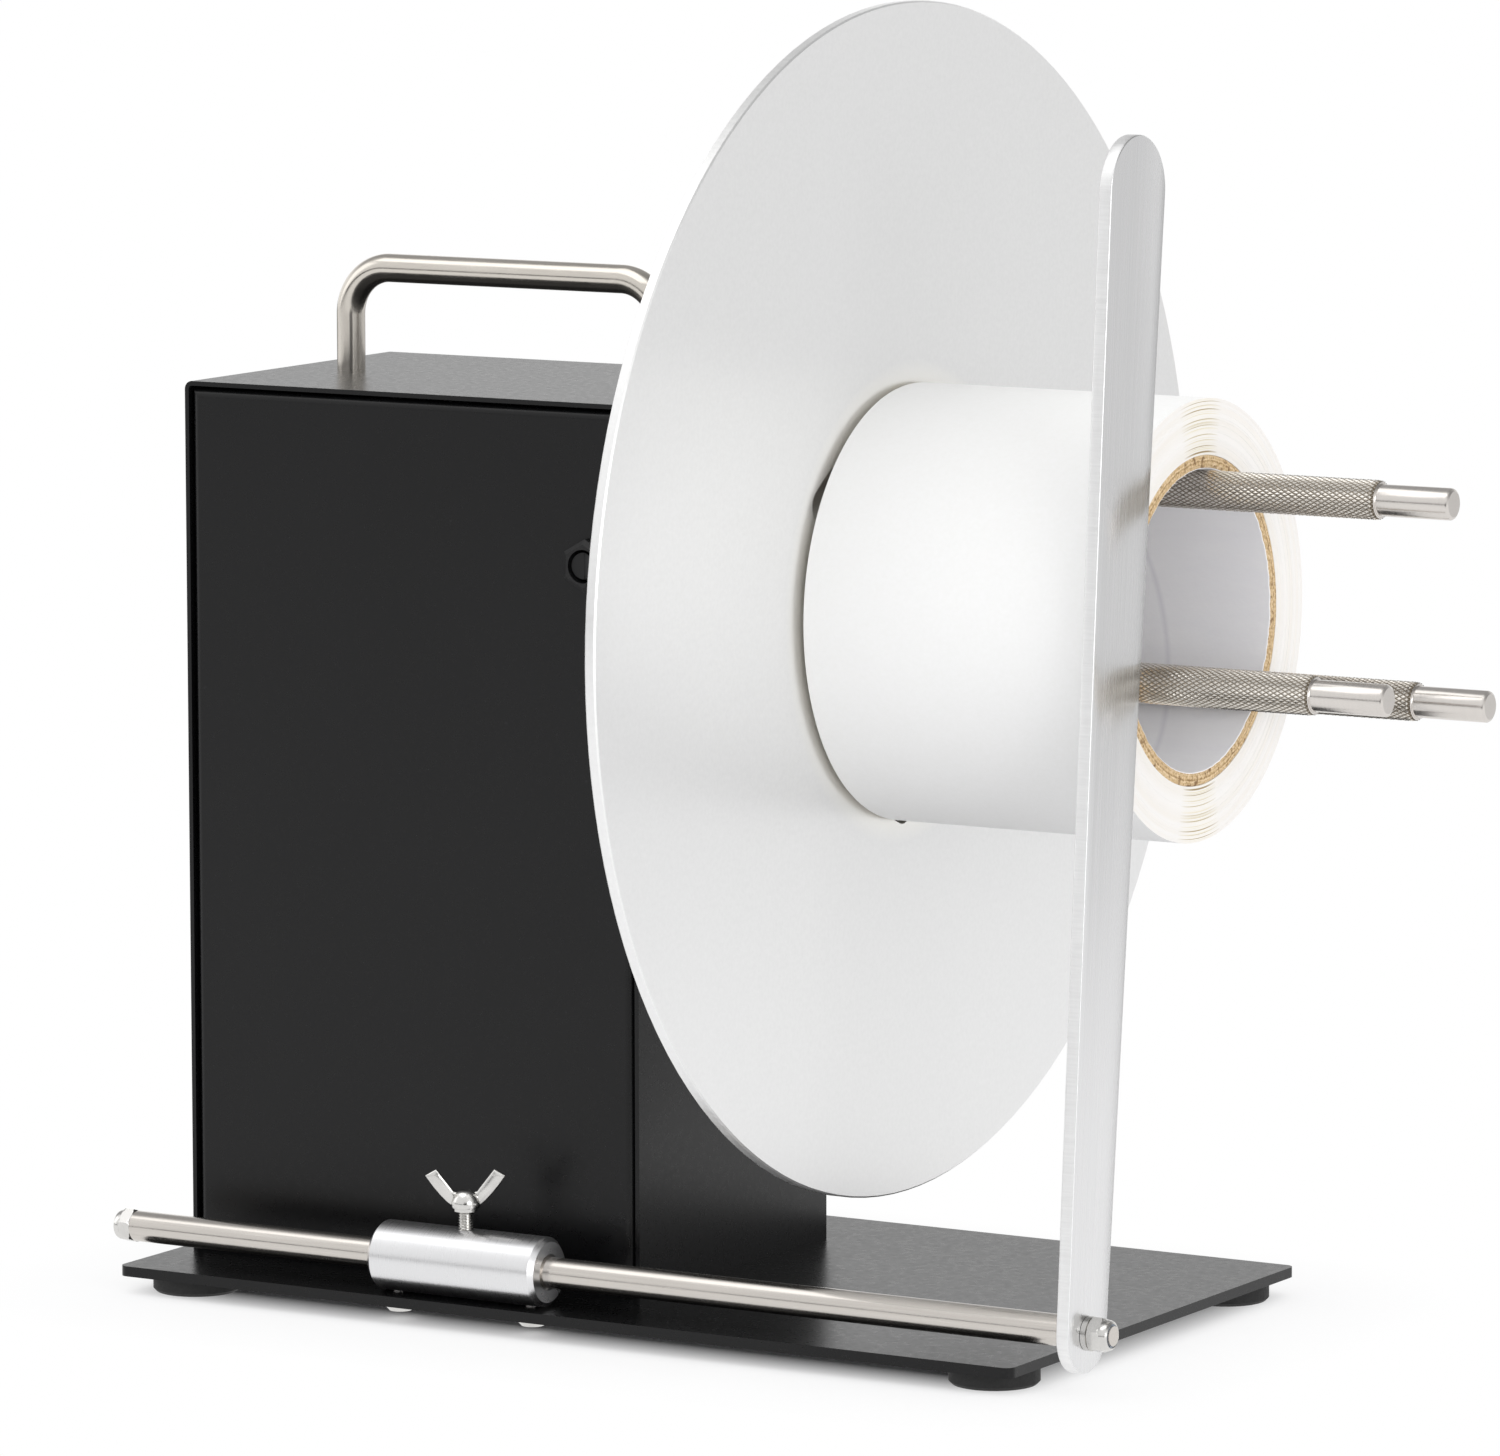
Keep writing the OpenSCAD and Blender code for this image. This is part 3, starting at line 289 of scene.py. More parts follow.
def disc_metal():
    """Satin disc: very fine turned rings, a painted bounce of warm light from the white roll next to the
    roll's edge, and scratches across the rim.
    """
    color, worn_color, painted_bounce_color = (0.87, 0.87, 0.865), (0.85, 0.85, 0.855), (0.97, 0.96, 0.92)
    painted_bounce_reach = 6 * MM
    s = Shader("satin_disc", color, 0.3, 0.75)
    r = s.radius(SPINDLE)
    mottle = s.noise(900)
    face = s.clouded(s.ramp(mottle, shades(color, 0.97, 1.02)), worn_color, 9)
    # painted light: within a few mm outside the roll's edge the disc is coloured lighter and warmer, standing
    # in for light thrown back by the white roll
    s.color(s.mix(s.span(r, 1.0, 0.0, ROLL_R, ROLL_R + painted_bounce_reach), face, painted_bounce_color))
    scratch = s.noise(2200, stretch=(0.05, 1, 1), roughness=0.6)
    rim = s.span(r, 0.0, 1.0, DISC_R - 0.4 * MM, DISC_R - 0.1 * MM)
    s.set("Roughness", s.between(rim, s.span(mottle, 0.29, 0.33), s.span(scratch, 0.28, 0.44)))
    s.bump(s.line_noise(r, 2600, 3.0), 0.05, 0.02 * MM)
    return s.material


def label_paper():
    """White label stock with faint fibres, and thin warm layer lines on its ends, above and below."""
    s = Shader("label_paper", (0.9, 0.9, 0.89), 0.62, Specular_IOR_Level=0.25)
    r = s.radius(SPINDLE)
    wander = s.math("MULTIPLY", s.noise(16, 2.0), 1.6 * MM)
    wound = s.math("ADD", r, wander)
    layers = s.line_noise(wound, 2100, 3.0)
    groups = s.line_noise(wound, 330)
    rise = s.math("SUBTRACT", s.part(s.coords, "Z"), SPINDLE.z)
    height = s.math("ABSOLUTE", s.math("DIVIDE", rise, r))
    lined = s.span(height, 0.0, 1.0, 0.978, 0.998)
    fine = s.math("ADD", s.math("MULTIPLY", layers, 0.8), s.math("MULTIPLY", groups, 0.2))
    thin = s.ramp(fine, [(0.37, (0.36, 0.27, 0.14)), (0.43, (0.80, 0.74, 0.58)), (0.50, (0.88, 0.855, 0.81))])
    pale = s.ramp(groups, [(0.3, (0.855, 0.825, 0.78)), (0.6, (0.875, 0.855, 0.83))])
    fibre = s.noise(900, 4.0)
    side = s.ramp(fibre, [(0.3, (0.895, 0.895, 0.885)), (0.7, (0.915, 0.915, 0.91))])
    s.color(s.mix(s.span(s.facing_x(), 0.0, 1.0, 0.5, 0.9), side, s.mix(lined, pale, thin)))
    s.bump(fibre, 0.10, 0.03 * MM)
    return s.material


def core_board():
    """Wound cardboard: torn tan ends with dark plies and specks, and a pale lining with a spiral seam."""
    turns_per_metre = 16.0
    s = Shader("core_board", (0.6, 0.43, 0.27), 0.85, Specular_IOR_Level=0.15)
    r = s.radius(SPINDLE)
    fibre = s.noise(1500, 4.0)
    torn = s.noise(420, 4.0)
    plies = s.line_noise(s.math("ADD", r, s.math("MULTIPLY", torn, 0.9 * MM)), 1500)
    tan = s.ramp(s.math("MULTIPLY", s.math("ADD", plies, fibre), 0.5),
                 [(0.38, (0.30, 0.19, 0.09)), (0.48, (0.58, 0.41, 0.22)), (0.62, (0.80, 0.64, 0.43))])
    tan = s.mix(s.span(torn, 0.0, 1.0, 0.58, 0.66), tan, (0.26, 0.16, 0.08))
    off = s.vector("SUBTRACT", s.coords, SPINDLE)[0]
    turn = s.math("DIVIDE", s.math("ARCTAN2", s.part(off, "Z"), s.part(off, "Y")), 2 * math.pi)
    helix = s.math("ADD", s.math("MULTIPLY", s.part(off, "X"), turns_per_metre), turn)
    seam = s.math("ABSOLUTE", s.math("SUBTRACT", s.math("FRACT", helix), 0.5))
    line = s.span(seam, 0.0, 1.0, 0.0, 0.02)
    crease = s.noise(70, 4.0, (1, 3, 3))
    lining = s.ramp(crease, [(0.3, (0.93, 0.925, 0.95)), (0.7, (0.97, 0.965, 0.98))])
    lining = s.mix(line, (0.84, 0.83, 0.87), lining)
    inside = s.span(r, 1.0, 0.0, CORE_IN_R + 0.12 * MM, CORE_IN_R + 0.3 * MM)
    s.color(s.mix(inside, tan, lining))
    s.bump(fibre, 0.3, 0.08 * MM)
    s.bump(torn, 0.3, 0.3 * MM)
    s.bump(line, 0.2, 0.1 * MM)
    return s.material


def knurled(index):
    """Rolled diamond points: bright metal on the crests, and painted shade with some dirt in the duller
    grooves.
    """
    crest_color, groove_shade_and_dirt_color = (0.80, 0.765, 0.71), (0.21, 0.175, 0.13)
    s = Shader(f"knurled_steel_{index}", (0.6, 0.57, 0.52), 0.26, 1.0)
    crest = s.span(s.radius(post_centre(index)), 0.0, 1.0, POST_R - KNURL_DEPTH, POST_R - KNURL_DEPTH * 0.50)
    wear = s.noise(900)
    # painted shade: the grooves are coloured dark, together with some dirt, where the knurl's hollows lie in
    # shade
    s.color(s.mix(crest, groove_shade_and_dirt_color, s.ramp(wear, shades(crest_color, 0.93, 1.05))))
    s.set("Roughness", s.span(crest, 0.5, 0.22, 0.0, 1.0))
    s.bump(wear, 0.08, 0.02 * MM)
    return s.material


def plain(name, color, roughness, grain, depth, **sockets):
    """Plastic, rubber, laminate and cast metal: a grain with a little change of tone and gloss."""
    s = Shader(name, color, roughness, **sockets)
    pattern = s.noise(grain)
    s.color(s.ramp(s.noise(grain / 8), shades(color, 0.85, 1.15)))
    s.rough(pattern, roughness - 0.06, roughness + 0.08)
    s.bump(pattern, depth, 0.03 * MM)
    return s.material


ALONG_X = (0.02, 1, 1)
ALONG_HANDLE = (0.05, 1, 0.05)
AROUND_X = (1, 0.05, 0.05)
AROUND_CLAMP = (1, 0.03, 0.03)
MATERIALS = {
    "coat": powder_coat("black_coat", (0.0042, 0.0042, 0.0046), 0.29),
    "bar_x": brushed("bright_bar", (0.64, 0.605, 0.565), 0.2, ALONG_X, depth=0.06),
    "handle": brushed("bright_handle", (0.66, 0.62, 0.565), 0.18, ALONG_HANDLE, depth=0.05),
    **{f"knurl_{i}": knurled(i) for i in POST_ANGLES},
    "post_end": brushed("turned_post", (0.71, 0.675, 0.64), 0.22, AROUND_X, 0.06, scale=2200, vary=0.6),
    "plated": plated("bright_plating", (0.70, 0.69, 0.67), 0.16),
    "ground": brushed("ground_steel", (0.62, 0.62, 0.62), 0.25, AROUND_X, depth=0.15, scale=1600),
    "arm": arm_metal(),
    "clamp": brushed("turned_clamp", (0.80, 0.80, 0.81), 0.28, AROUND_CLAMP, 0.04, scale=4000, vary=0.25),
    "disc": disc_metal(),
    "hub": brushed("turned_hub", (0.84, 0.83, 0.81), 0.34, AROUND_X, depth=0.2, scale=1200),
    "cast": plain("cast_alloy", (0.32, 0.325, 0.33), 0.55, 900, 0.5, Metallic=1.0),
    "oxide": plain("black_oxide", (0.03, 0.03, 0.032), 0.4, 1500, 0.2, Metallic=0.6),
    "paper": label_paper(),
    "core": core_board(),
    "rubber": plain("foot_rubber", (0.012, 0.012, 0.012), 0.7, 1400, 0.5),
    "plastic": plain("black_plastic", (0.010, 0.010, 0.0105), 0.36, 1900, 0.2, Specular_IOR_Level=0.32),
    "nylon": plain("nylon_ring", (0.55, 0.62, 0.72), 0.4, 1200, 0.15),
    "laminate": plain("board_laminate", (0.02, 0.11, 0.05), 0.35, 1100, 0.2),
}

FINISH = {
    "coat": ["base_plate", "housing_shell", "front_panel", "rear_panel", "drive_bracket"],
    "rubber": ["rubber_feet"],
    "plated": ["housing_screws", "handle_screws", "bearing_screws", "bearing_nuts", "gearbox_screws",
               "bracket_screws", "board_standoffs", "board_screws", "jack_nut", "disc_retainer",
               "retainer_screw", "clamp_screws", "rod_end_nut", "arm_washer", "arm_nut", "wing_screw"]
              + [f"post_{kind}_{i}" for kind in ("washer", "nut") for i in POST_ANGLES],
    "handle": ["carry_handle"],
    "bar_x": ["guide_rod"],
    "ground": ["spindle", "output_shaft", "spindle_bearings", "drive_motor"],
    "cast": ["gearbox"],
    "oxide": ["set_screws"],
    "hub": ["bearing_housing", "shaft_coupling", "jaw_hub"],
    "disc": ["flange_disc"],
    "clamp": ["rod_clamp"],
    "arm": ["guide_arm"],
    "post_end": [f"core_post_{i}" for i in POST_ANGLES],
    "laminate": ["control_board"],
    "plastic": ["power_jack", "switch_body", "switch_rocker"],
    "core": ["roll_core"],
    "paper": ["label_roll"],
}
for key, names in FINISH.items():
    for name in names:
        NODES[name].data.materials.clear()
        NODES[name].data.materials.append(MATERIALS[key])


# Mesh pieces

WELD = 0.002 * MM


def piece(name, verts, faces, material, body, stands_for=(), sharp=35.0):
    """A mesh object that rides on a body, with edges past the sharp angle kept crisp."""
    mesh = bpy.data.meshes.new(name)
    mesh.from_pydata(verts, [], faces)
    work = bmesh.new()
    work.from_mesh(mesh)
    bmesh.ops.remove_doubles(work, verts=work.verts, dist=WELD)
    bmesh.ops.recalc_face_normals(work, faces=work.faces)
    for edge in work.edges:
        edge.smooth = edge.calc_face_angle(0.0) < math.radians(sharp)
    for face in work.faces:
        face.smooth = True
    work.to_mesh(mesh)
    work.free()
    mesh.materials.append(MATERIALS[material])
    obj = bpy.data.objects.new(name, mesh)
    bpy.context.scene.collection.objects.link(obj)
    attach(obj, body)
    if stands_for:
        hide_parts(*stands_for)
    return obj


def lathe(profile, segments=96, change=None):
    """Revolves [(x, r), ...] about X. A zero radius is one point, and change(x, r, angle) alters a radius."""
    verts, faces, rows = [], [], []
    for x, r in profile:
        if r < 1e-9:
            rows.append([len(verts)])
            verts.append((x, 0.0, 0.0))
            continue
        row = []
        for k in range(segments):
            a = 2 * math.pi * k / segments
            rr = change(x, r, a) if change else r
            row.append(len(verts))
            verts.append((x, rr * math.cos(a), rr * math.sin(a)))
        rows.append(row)
    for low, high in zip(rows, rows[1:]):
        for k in range(segments):
            n = (k + 1) % segments
            if len(low) == 1:
                faces.append((low[0], high[k], high[n]))
            elif len(high) == 1:
                faces.append((low[k], high[0], low[n]))
            else:
                faces.append((low[k], high[k], high[n], low[n]))
    return verts, faces


def skin(rows, count):
    """Faces between rows of points, each row a closed ring of count points, with a flat face at both ends."""
    faces = []
    for k in range(rows - 1):
        for i in range(count):
            n = (i + 1) % count
            faces.append((k * count + i, k * count + n, (k + 1) * count + n, (k + 1) * count + i))
    last = (rows - 1) * count
    return faces + [tuple(range(count)), tuple(range(last, last + count))]


def shifted(verts, matrix):
    return [matrix @ Vector(v) for v in verts]


def join(*parts):
    verts, faces = [], []
    for part_verts, part_faces in parts:
        base = len(verts)
        verts += part_verts
        faces += [tuple(i + base for i in f) for f in part_faces]
    return verts, faces


def closed_ring(profile):
    return profile + profile[:1]


# Knurled core posts

def knurled_post(index):
    """Diamond knurl: raised and deep points alternate, and the grooves run through the deep ones."""
    low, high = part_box(f"core_post_{index}")
    x_back, x_tip = low[0], high[0]
    x_collar = DISC_FACE + COLLAR_GAP
    start = x_collar + COLLAR_H
    stop = x_tip - TIP_LEN
    pitch = 2 * math.pi * POST_R / KNURL_TEETH
    rows = int(round((stop - start) / (pitch * 0.5 * KNURL_STRETCH) / 2)) * 2
    step = (stop - start) / rows
    around = 2 * KNURL_TEETH
    verts, faces = [], []
    for k in range(rows + 1):
        worn = 0.5 * KNURL_DEPTH if k in (0, rows) else 0.0
        for i in range(around):
            a = math.pi * i / KNURL_TEETH
            r = POST_R - (0.0 if (i + k) % 2 == 0 else KNURL_DEPTH) - worn
            verts.append((start + k * step, r * math.cos(a), r * math.sin(a)))
    for k in range(rows):
        for i in range(around):
            n = (i + 1) % around
            p = [k * around + i, k * around + n, (k + 1) * around + n, (k + 1) * around + i]
            if (i + k) % 2 == 0:
                faces += [(p[0], p[1], p[3]), (p[1], p[2], p[3])]
            else:
                faces += [(p[0], p[1], p[2]), (p[0], p[2], p[3])]
    plug = 0.6 * MM                # how far the smooth ends reach into the knurl
    base_r = POST_R - KNURL_DEPTH * 1.6
    plug_r = base_r - 0.1 * MM
    tip = lathe([(stop - plug, 0.0), (stop - plug, plug_r), (stop, base_r), (stop, POST_R - 0.35 * MM),
                 (stop + 0.15 * MM, POST_R - 0.55 * MM), (stop + 0.15 * MM, TIP_R + 0.15 * MM),
                 (stop + 0.3 * MM, TIP_R), (x_tip - 0.8 * MM, TIP_R), (x_tip - 0.35 * MM, TIP_R - 0.22 * MM),
                 (x_tip, TIP_R - 0.8 * MM), (x_tip, 0.0)], 64)
    foot = lathe([(x_back, 0.0), (x_back, SHANK_R - 0.6 * MM), (x_back + 0.6 * MM, SHANK_R),
                  (x_collar, SHANK_R), (x_collar, COLLAR_R - 0.2 * MM), (x_collar + 0.2 * MM, COLLAR_R),
                  (start - 0.3 * MM, COLLAR_R), (start, COLLAR_R - 0.3 * MM), (start, base_r),
                  (start + plug, plug_r), (start + plug, 0.0)], 64)
    place = Matrix.Translation(post_centre(index))
    piece(f"knurled_post_{index}", shifted(verts, place), faces, f"knurl_{index}", f"post_{index}",
          [f"core_post_{index}"], sharp=30.0)
    verts, faces = join(tip, foot)
    piece(f"post_ends_{index}", shifted(verts, place), faces, "post_end", f"post_{index}",
          sharp=30.0)


for index in POST_ANGLES:
    knurled_post(index)


# Label roll: wound layers that do not end quite level, and the core with rough cut ends

def wound_ends(seed, inner, outer):
    """Inner radius, outer radius and depth of each layer at one end. A layer follows the one before it."""
    chance = random.Random(seed)
    drift = 0.0
    rings = []
    for i in range(ROLL_LAYERS):
        r0 = inner + (outer - inner) * i / ROLL_LAYERS
        r1 = inner + (outer - inner) * (i + 1) / ROLL_LAYERS
        drift = 0.75 * drift + chance.uniform(-0.5, 0.5)
        rings.append((r0, r1, LAYER_STEP * min(1.0, max(0.0, 0.45 + 0.45 * drift))))
    return rings


def roll_profile(x0, x1):
    inner, outer = CORE_OUT_R + 0.05 * MM, ROLL_R
    near = wound_ends(4, inner, outer)
    far = wound_ends(9, inner, outer)
    profile = [point for r0, r1, d in far for point in ((x0 + d, r0), (x0 + d, r1))]
    profile += [point for r0, r1, d in reversed(near) for point in ((x1 - d, r1), (x1 - d, r0))]
    return closed_ring(profile)


AXIS = Matrix.Translation(Vector((0, SPINDLE.y, SPINDLE.z)))


def label_roll():
    verts, faces = lathe(roll_profile(ROLL_LOW[0], ROLL_HIGH[0]), 160)
    piece("wound_labels", shifted(verts, AXIS), faces, "paper", "winder", ["label_roll"],
          sharp=30.0)


def rough_core():
    chance = random.Random(21)
    rough = [chance.uniform(-1, 1) for _ in range(CORE_SEGMENTS)]
    x0, x1 = CORE_LOW[0], CORE_HIGH[0]
    inner, outer = CORE_IN_R, CORE_OUT_R
    lip = 0.35 * MM
    profile = closed_ring([(x0, inner), (x0, outer), (x1 - lip, outer), (x1, outer - lip),
                           (x1 - 0.1 * MM, outer - 1.1 * MM), (x1, inner + 1.6 * MM),
                           (x1 - 0.05 * MM, inner + 0.5 * MM), (x1 - lip, inner)])
    verts, faces = lathe(profile, CORE_SEGMENTS)
    frayed = []
    for i, (x, y, z) in enumerate(verts):
        fray = FRAY * rough[(i * 7) % CORE_SEGMENTS] if x > x1 - 0.5 * MM else 0.0
        frayed.append((min(x1, x + fray), y, z))
    piece("cut_core", shifted(frayed, AXIS), faces, "core", "winder", ["roll_core"], sharp=40.0)


label_roll()
rough_core()


# Nuts and the wing screw

def hex_nut(flats, height, bore, chamfer=0.12, segments=96):
    """Hexagon along X from 0 to height, its corners rounded off by a cone at both ends."""
    corner = flats / 2 / math.cos(math.pi / 6)

    def hexagon(x, r, a):
        side = flats / 2 / math.cos((a + math.pi / 6) % (math.pi / 3) - math.pi / 6)
        rim = min(x, height - x)
        cone = flats / 2 * 0.96 + rim / math.tan(math.radians(30))
        return r if r < flats / 2 * 0.95 else min(side, cone)

    c = height * chamfer
    lead = 0.3 * MM
    stations = [0.0, c / 2, c, 1.6 * c, 2.4 * c]
    xs = stations + [height - x for x in reversed(stations)]
    profile = [(lead, bore), (0.0, bore + lead)]
    profile += [(x, corner) for x in xs]
    profile += [(height, bore + lead), (height - lead, bore)]
    return lathe(closed_ring(profile), segments, hexagon)


def lock_nut(name, node, centre, x0, direction, body):
    """Hexagon with a rolled collar that holds a nylon ring."""
    flats, height, ring, bore = 8.0 * MM, 3.6 * MM, 1.9 * MM, 2.55 * MM
    collar_r = flats * 0.97 / 2
    nut = hex_nut(flats, height, bore)
    rim = lathe(closed_ring([(height - 0.2 * MM, collar_r), (height + ring * 0.45, collar_r),
                             (height + ring * 0.8, collar_r * 0.93), (height + ring, collar_r * 0.80),
                             (height + ring * 0.92, collar_r * 0.76),
                             (height - 0.2 * MM, collar_r * 0.76)]), 64)
    place = Matrix.Translation(Vector((x0, centre.y, centre.z))) @ Matrix.Diagonal((direction, 1, 1, 1))
    turn = Matrix.Rotation(math.radians(12), 4, "X")
    verts, faces = join(nut, rim)
    piece(name, shifted(verts, place @ turn), faces, "plated", body, [node], sharp=28.0)
    insert = lathe(closed_ring([(height + ring * 0.1, bore), (height + ring * 0.1, collar_r * 0.755),
                                (height + ring * 0.86, collar_r * 0.755), (height + ring * 0.72, 2.75 * MM),
                                (height + ring * 0.6, bore)]), 64)
    piece(name + "_insert", shifted(insert[0], place), insert[1], "nylon", body)


lock_nut("end_lock_nut", "rod_end_nut", ROD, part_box("rod_end_nut")[1][0], -1, "rod")
lock_nut("arm_lock_nut", "arm_nut", ROD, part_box("arm_nut")[0][0], 1, "rod")

for index in POST_ANGLES:
    low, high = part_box(f"post_nut_{index}")
    verts, faces = hex_nut(POST_NUT_FLATS, high[0] - low[0], SHANK_R + 0.05 * MM)
    place = Matrix.Translation(post_centre(index, low[0]))
    piece(f"post_hex_nut_{index}", shifted(verts, place), faces, "plated", f"post_{index}",
          [f"post_nut_{index}"], sharp=28.0)


def thread(radius, pitch, length, segments=32, per_turn=8):
    """A screw thread along X: the crest climbs by one pitch each turn."""
    rows = int(length / pitch * per_turn)
    profile = [(length * k / rows, radius) for k in range(rows + 1)]

    def groove(x, r, a):
        phase = (x / pitch - a / (2 * math.pi)) % 1.0
        return r - 0.55 * pitch * (1.0 - abs(2 * phase - 1.0))

    return lathe([(0.0, 0.0)] + profile + [(length, 0.0)], segments, groove)


def wing_ear():
    """One wing in X and Z: it leaves the barrel low, bends up and ends in a square tip with soft corners."""
    outline = [(1.4, 1.5), (3.0, 1.6), (3.8, 1.9), (4.6, 2.5), (5.2, 3.1), (6.5, 4.5), (8.3, 6.75),
               (9.7, 8.75), (10.2, 9.45), (10.3, 9.7), (10.15, 9.9), (7.75, 11.3), (7.45, 11.4),
               (7.15, 11.2), (6.3, 10.0), (5.4, 8.8), (3.4, 6.1), (3.0, 5.5), (1.4, 5.2)]
    drawn_top = max(z for x, z in outline)
    points = [(x * MM, z / drawn_top * WING_H) for x, z in outline]
    count = len(points)
    inward = []
    for i in range(count):
        before, after = Vector(points[i - 1]), Vector(points[(i + 1) % count])
        along = (after - before).normalized()
        inward.append(Vector((-along.y, along.x)))
    levels = ((-0.5, 0.35), (-0.42, 0.12), (-0.25, 0.0), (0.25, 0.0), (0.42, 0.12), (0.5, 0.35))
    verts = []
    for y, inset in levels:
        for point, away in zip(points, inward):
            p = Vector(point) + away * inset * MM
            verts.append((p.x, y * WING_T, p.y))
    return verts, skin(len(levels), count)


def wing_screw():
    low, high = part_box("wing_screw")
    foot = high[2] - WING_H
    upright = Matrix.Rotation(math.radians(-90), 4, "Y")
    shank, turns = thread(2.0 * MM, 0.7 * MM, foot - low[2] + 0.3 * MM)
    shank = shifted(shifted(shank, Matrix.Translation((low[2] - foot, 0, 0))), upright)
    barrel = lathe([(0.0, 0.0), (0.0, 2.75 * MM), (0.2 * MM, 3.05 * MM), (0.9 * MM, 3.05 * MM),
                    (1.1 * MM, 3.6 * MM), (1.5 * MM, 3.8 * MM), (2.6 * MM, 3.75 * MM), (4.0 * MM, 3.3 * MM),
                    (5.0 * MM, 2.6 * MM), (5.5 * MM, 1.6 * MM), (5.7 * MM, 0.0)], 48)
    barrel = (shifted(barrel[0], upright), barrel[1])
    ear = wing_ear()
    other_ear = ([(-x, y, z) for x, y, z in ear[0]], ear[1])
    centre = middle("wing_screw")
    place = Matrix.Translation((centre.x, ROD.y, foot)) @ Matrix.Rotation(WING_ANGLE, 4, "Z")
    verts, faces = join(barrel, ear, other_ear)
    piece("wing_screw_body", shifted(verts, place), faces, "plated", "wing", ["wing_screw"],
          sharp=38.0)
    piece("wing_screw_thread", shifted(shank, place), turns, "plated", "wing", sharp=25.0)


wing_screw()


# Carry handle: one bent bar, swept smoothly along its centre line

def carry_handle():
    low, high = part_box("carry_handle")
    r = (high[1] - low[1]) / 2
    middle_y = (low[1] + high[1]) / 2
    top, left, right = high[2] - r, low[0] + r, high[0] - r
    bend_steps, segments = 32, 48
    path = [(left, low[2])]
    for centre, first in ((left + HANDLE_BEND, 180.0), (right - HANDLE_BEND, 90.0)):
        for k in range(bend_steps + 1):
            a = math.radians(first - 90.0 * k / bend_steps)
            path.append((centre + HANDLE_BEND * math.cos(a), top - HANDLE_BEND + HANDLE_BEND * math.sin(a)))
    path.append((right, low[2]))
    verts = []
    for i, (x, z) in enumerate(path):
        before, after = path[max(i - 1, 0)], path[min(i + 1, len(path) - 1)]
        along = Vector((after[0] - before[0], after[1] - before[1])).normalized()
        for k in range(segments):
            a = 2 * math.pi * k / segments
            side = r * math.cos(a)
            verts.append((x - along.y * side, middle_y + r * math.sin(a), z + along.x * side))
    piece("bent_handle", verts, skin(len(path), segments), "handle", "base", ["carry_handle"],
          sharp=40.0)


carry_handle()


# Guide arm with its edges broken, as the flat bar is finished

def guide_arm():
    low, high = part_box("guide_arm")
    x0, x1 = low[0], high[0]
    tilt = math.degrees(math.asin((ARM_LOW_R - ARM_TOP_R) / ARM_LEN))
    end_steps = 40
    outline = []
    for centre, r, first, sweep in ((0.0, ARM_LOW_R, 180.0 - tilt, 180.0 + 2 * tilt),
                                    (ARM_LEN, ARM_TOP_R, tilt, 180.0 - 2 * tilt)):
        for k in range(end_steps + 1):
            a = math.radians(first + sweep * k / end_steps)
            away = Vector((math.cos(a), math.sin(a)))
            outline.append((Vector((0.0, centre)) + r * away, away))
    levels = ((x0, -0.35), (x0 + 0.12 * MM, -0.1), (x0 + 0.35 * MM, 0.0), (x1 - 0.35 * MM, 0.0),
              (x1 - 0.12 * MM, -0.1), (x1, -0.35))
    verts = []
    for x, inset in levels:
        for point, away in outline:
            p = point + away * inset * MM
            y = p.x * math.cos(ARM_LEAN) + p.y * math.sin(ARM_LEAN)
            z = -p.x * math.sin(ARM_LEAN) + p.y * math.cos(ARM_LEAN)
            verts.append((x, ROD.y + y, ROD.z + z))
    piece("flat_arm", verts, skin(len(levels), len(outline)), "arm", "arm", ["guide_arm"],
          sharp=50.0)


guide_arm()


# Floor, light and camera

DARK_WAY = (0.51, -0.86, 0.0)      # a dark figure stands this way, which draws lines on bright bars
FLOOR_HALF = 6.0
SHADOW_INSET = 17 * MM             # the shadow starts to fade this far inside the plate's outline
NEAR_FADE = 22 * MM
FAR_FADE = 65 * MM
NEAR_SHARE, FAR_SHARE = 0.78, 0.22


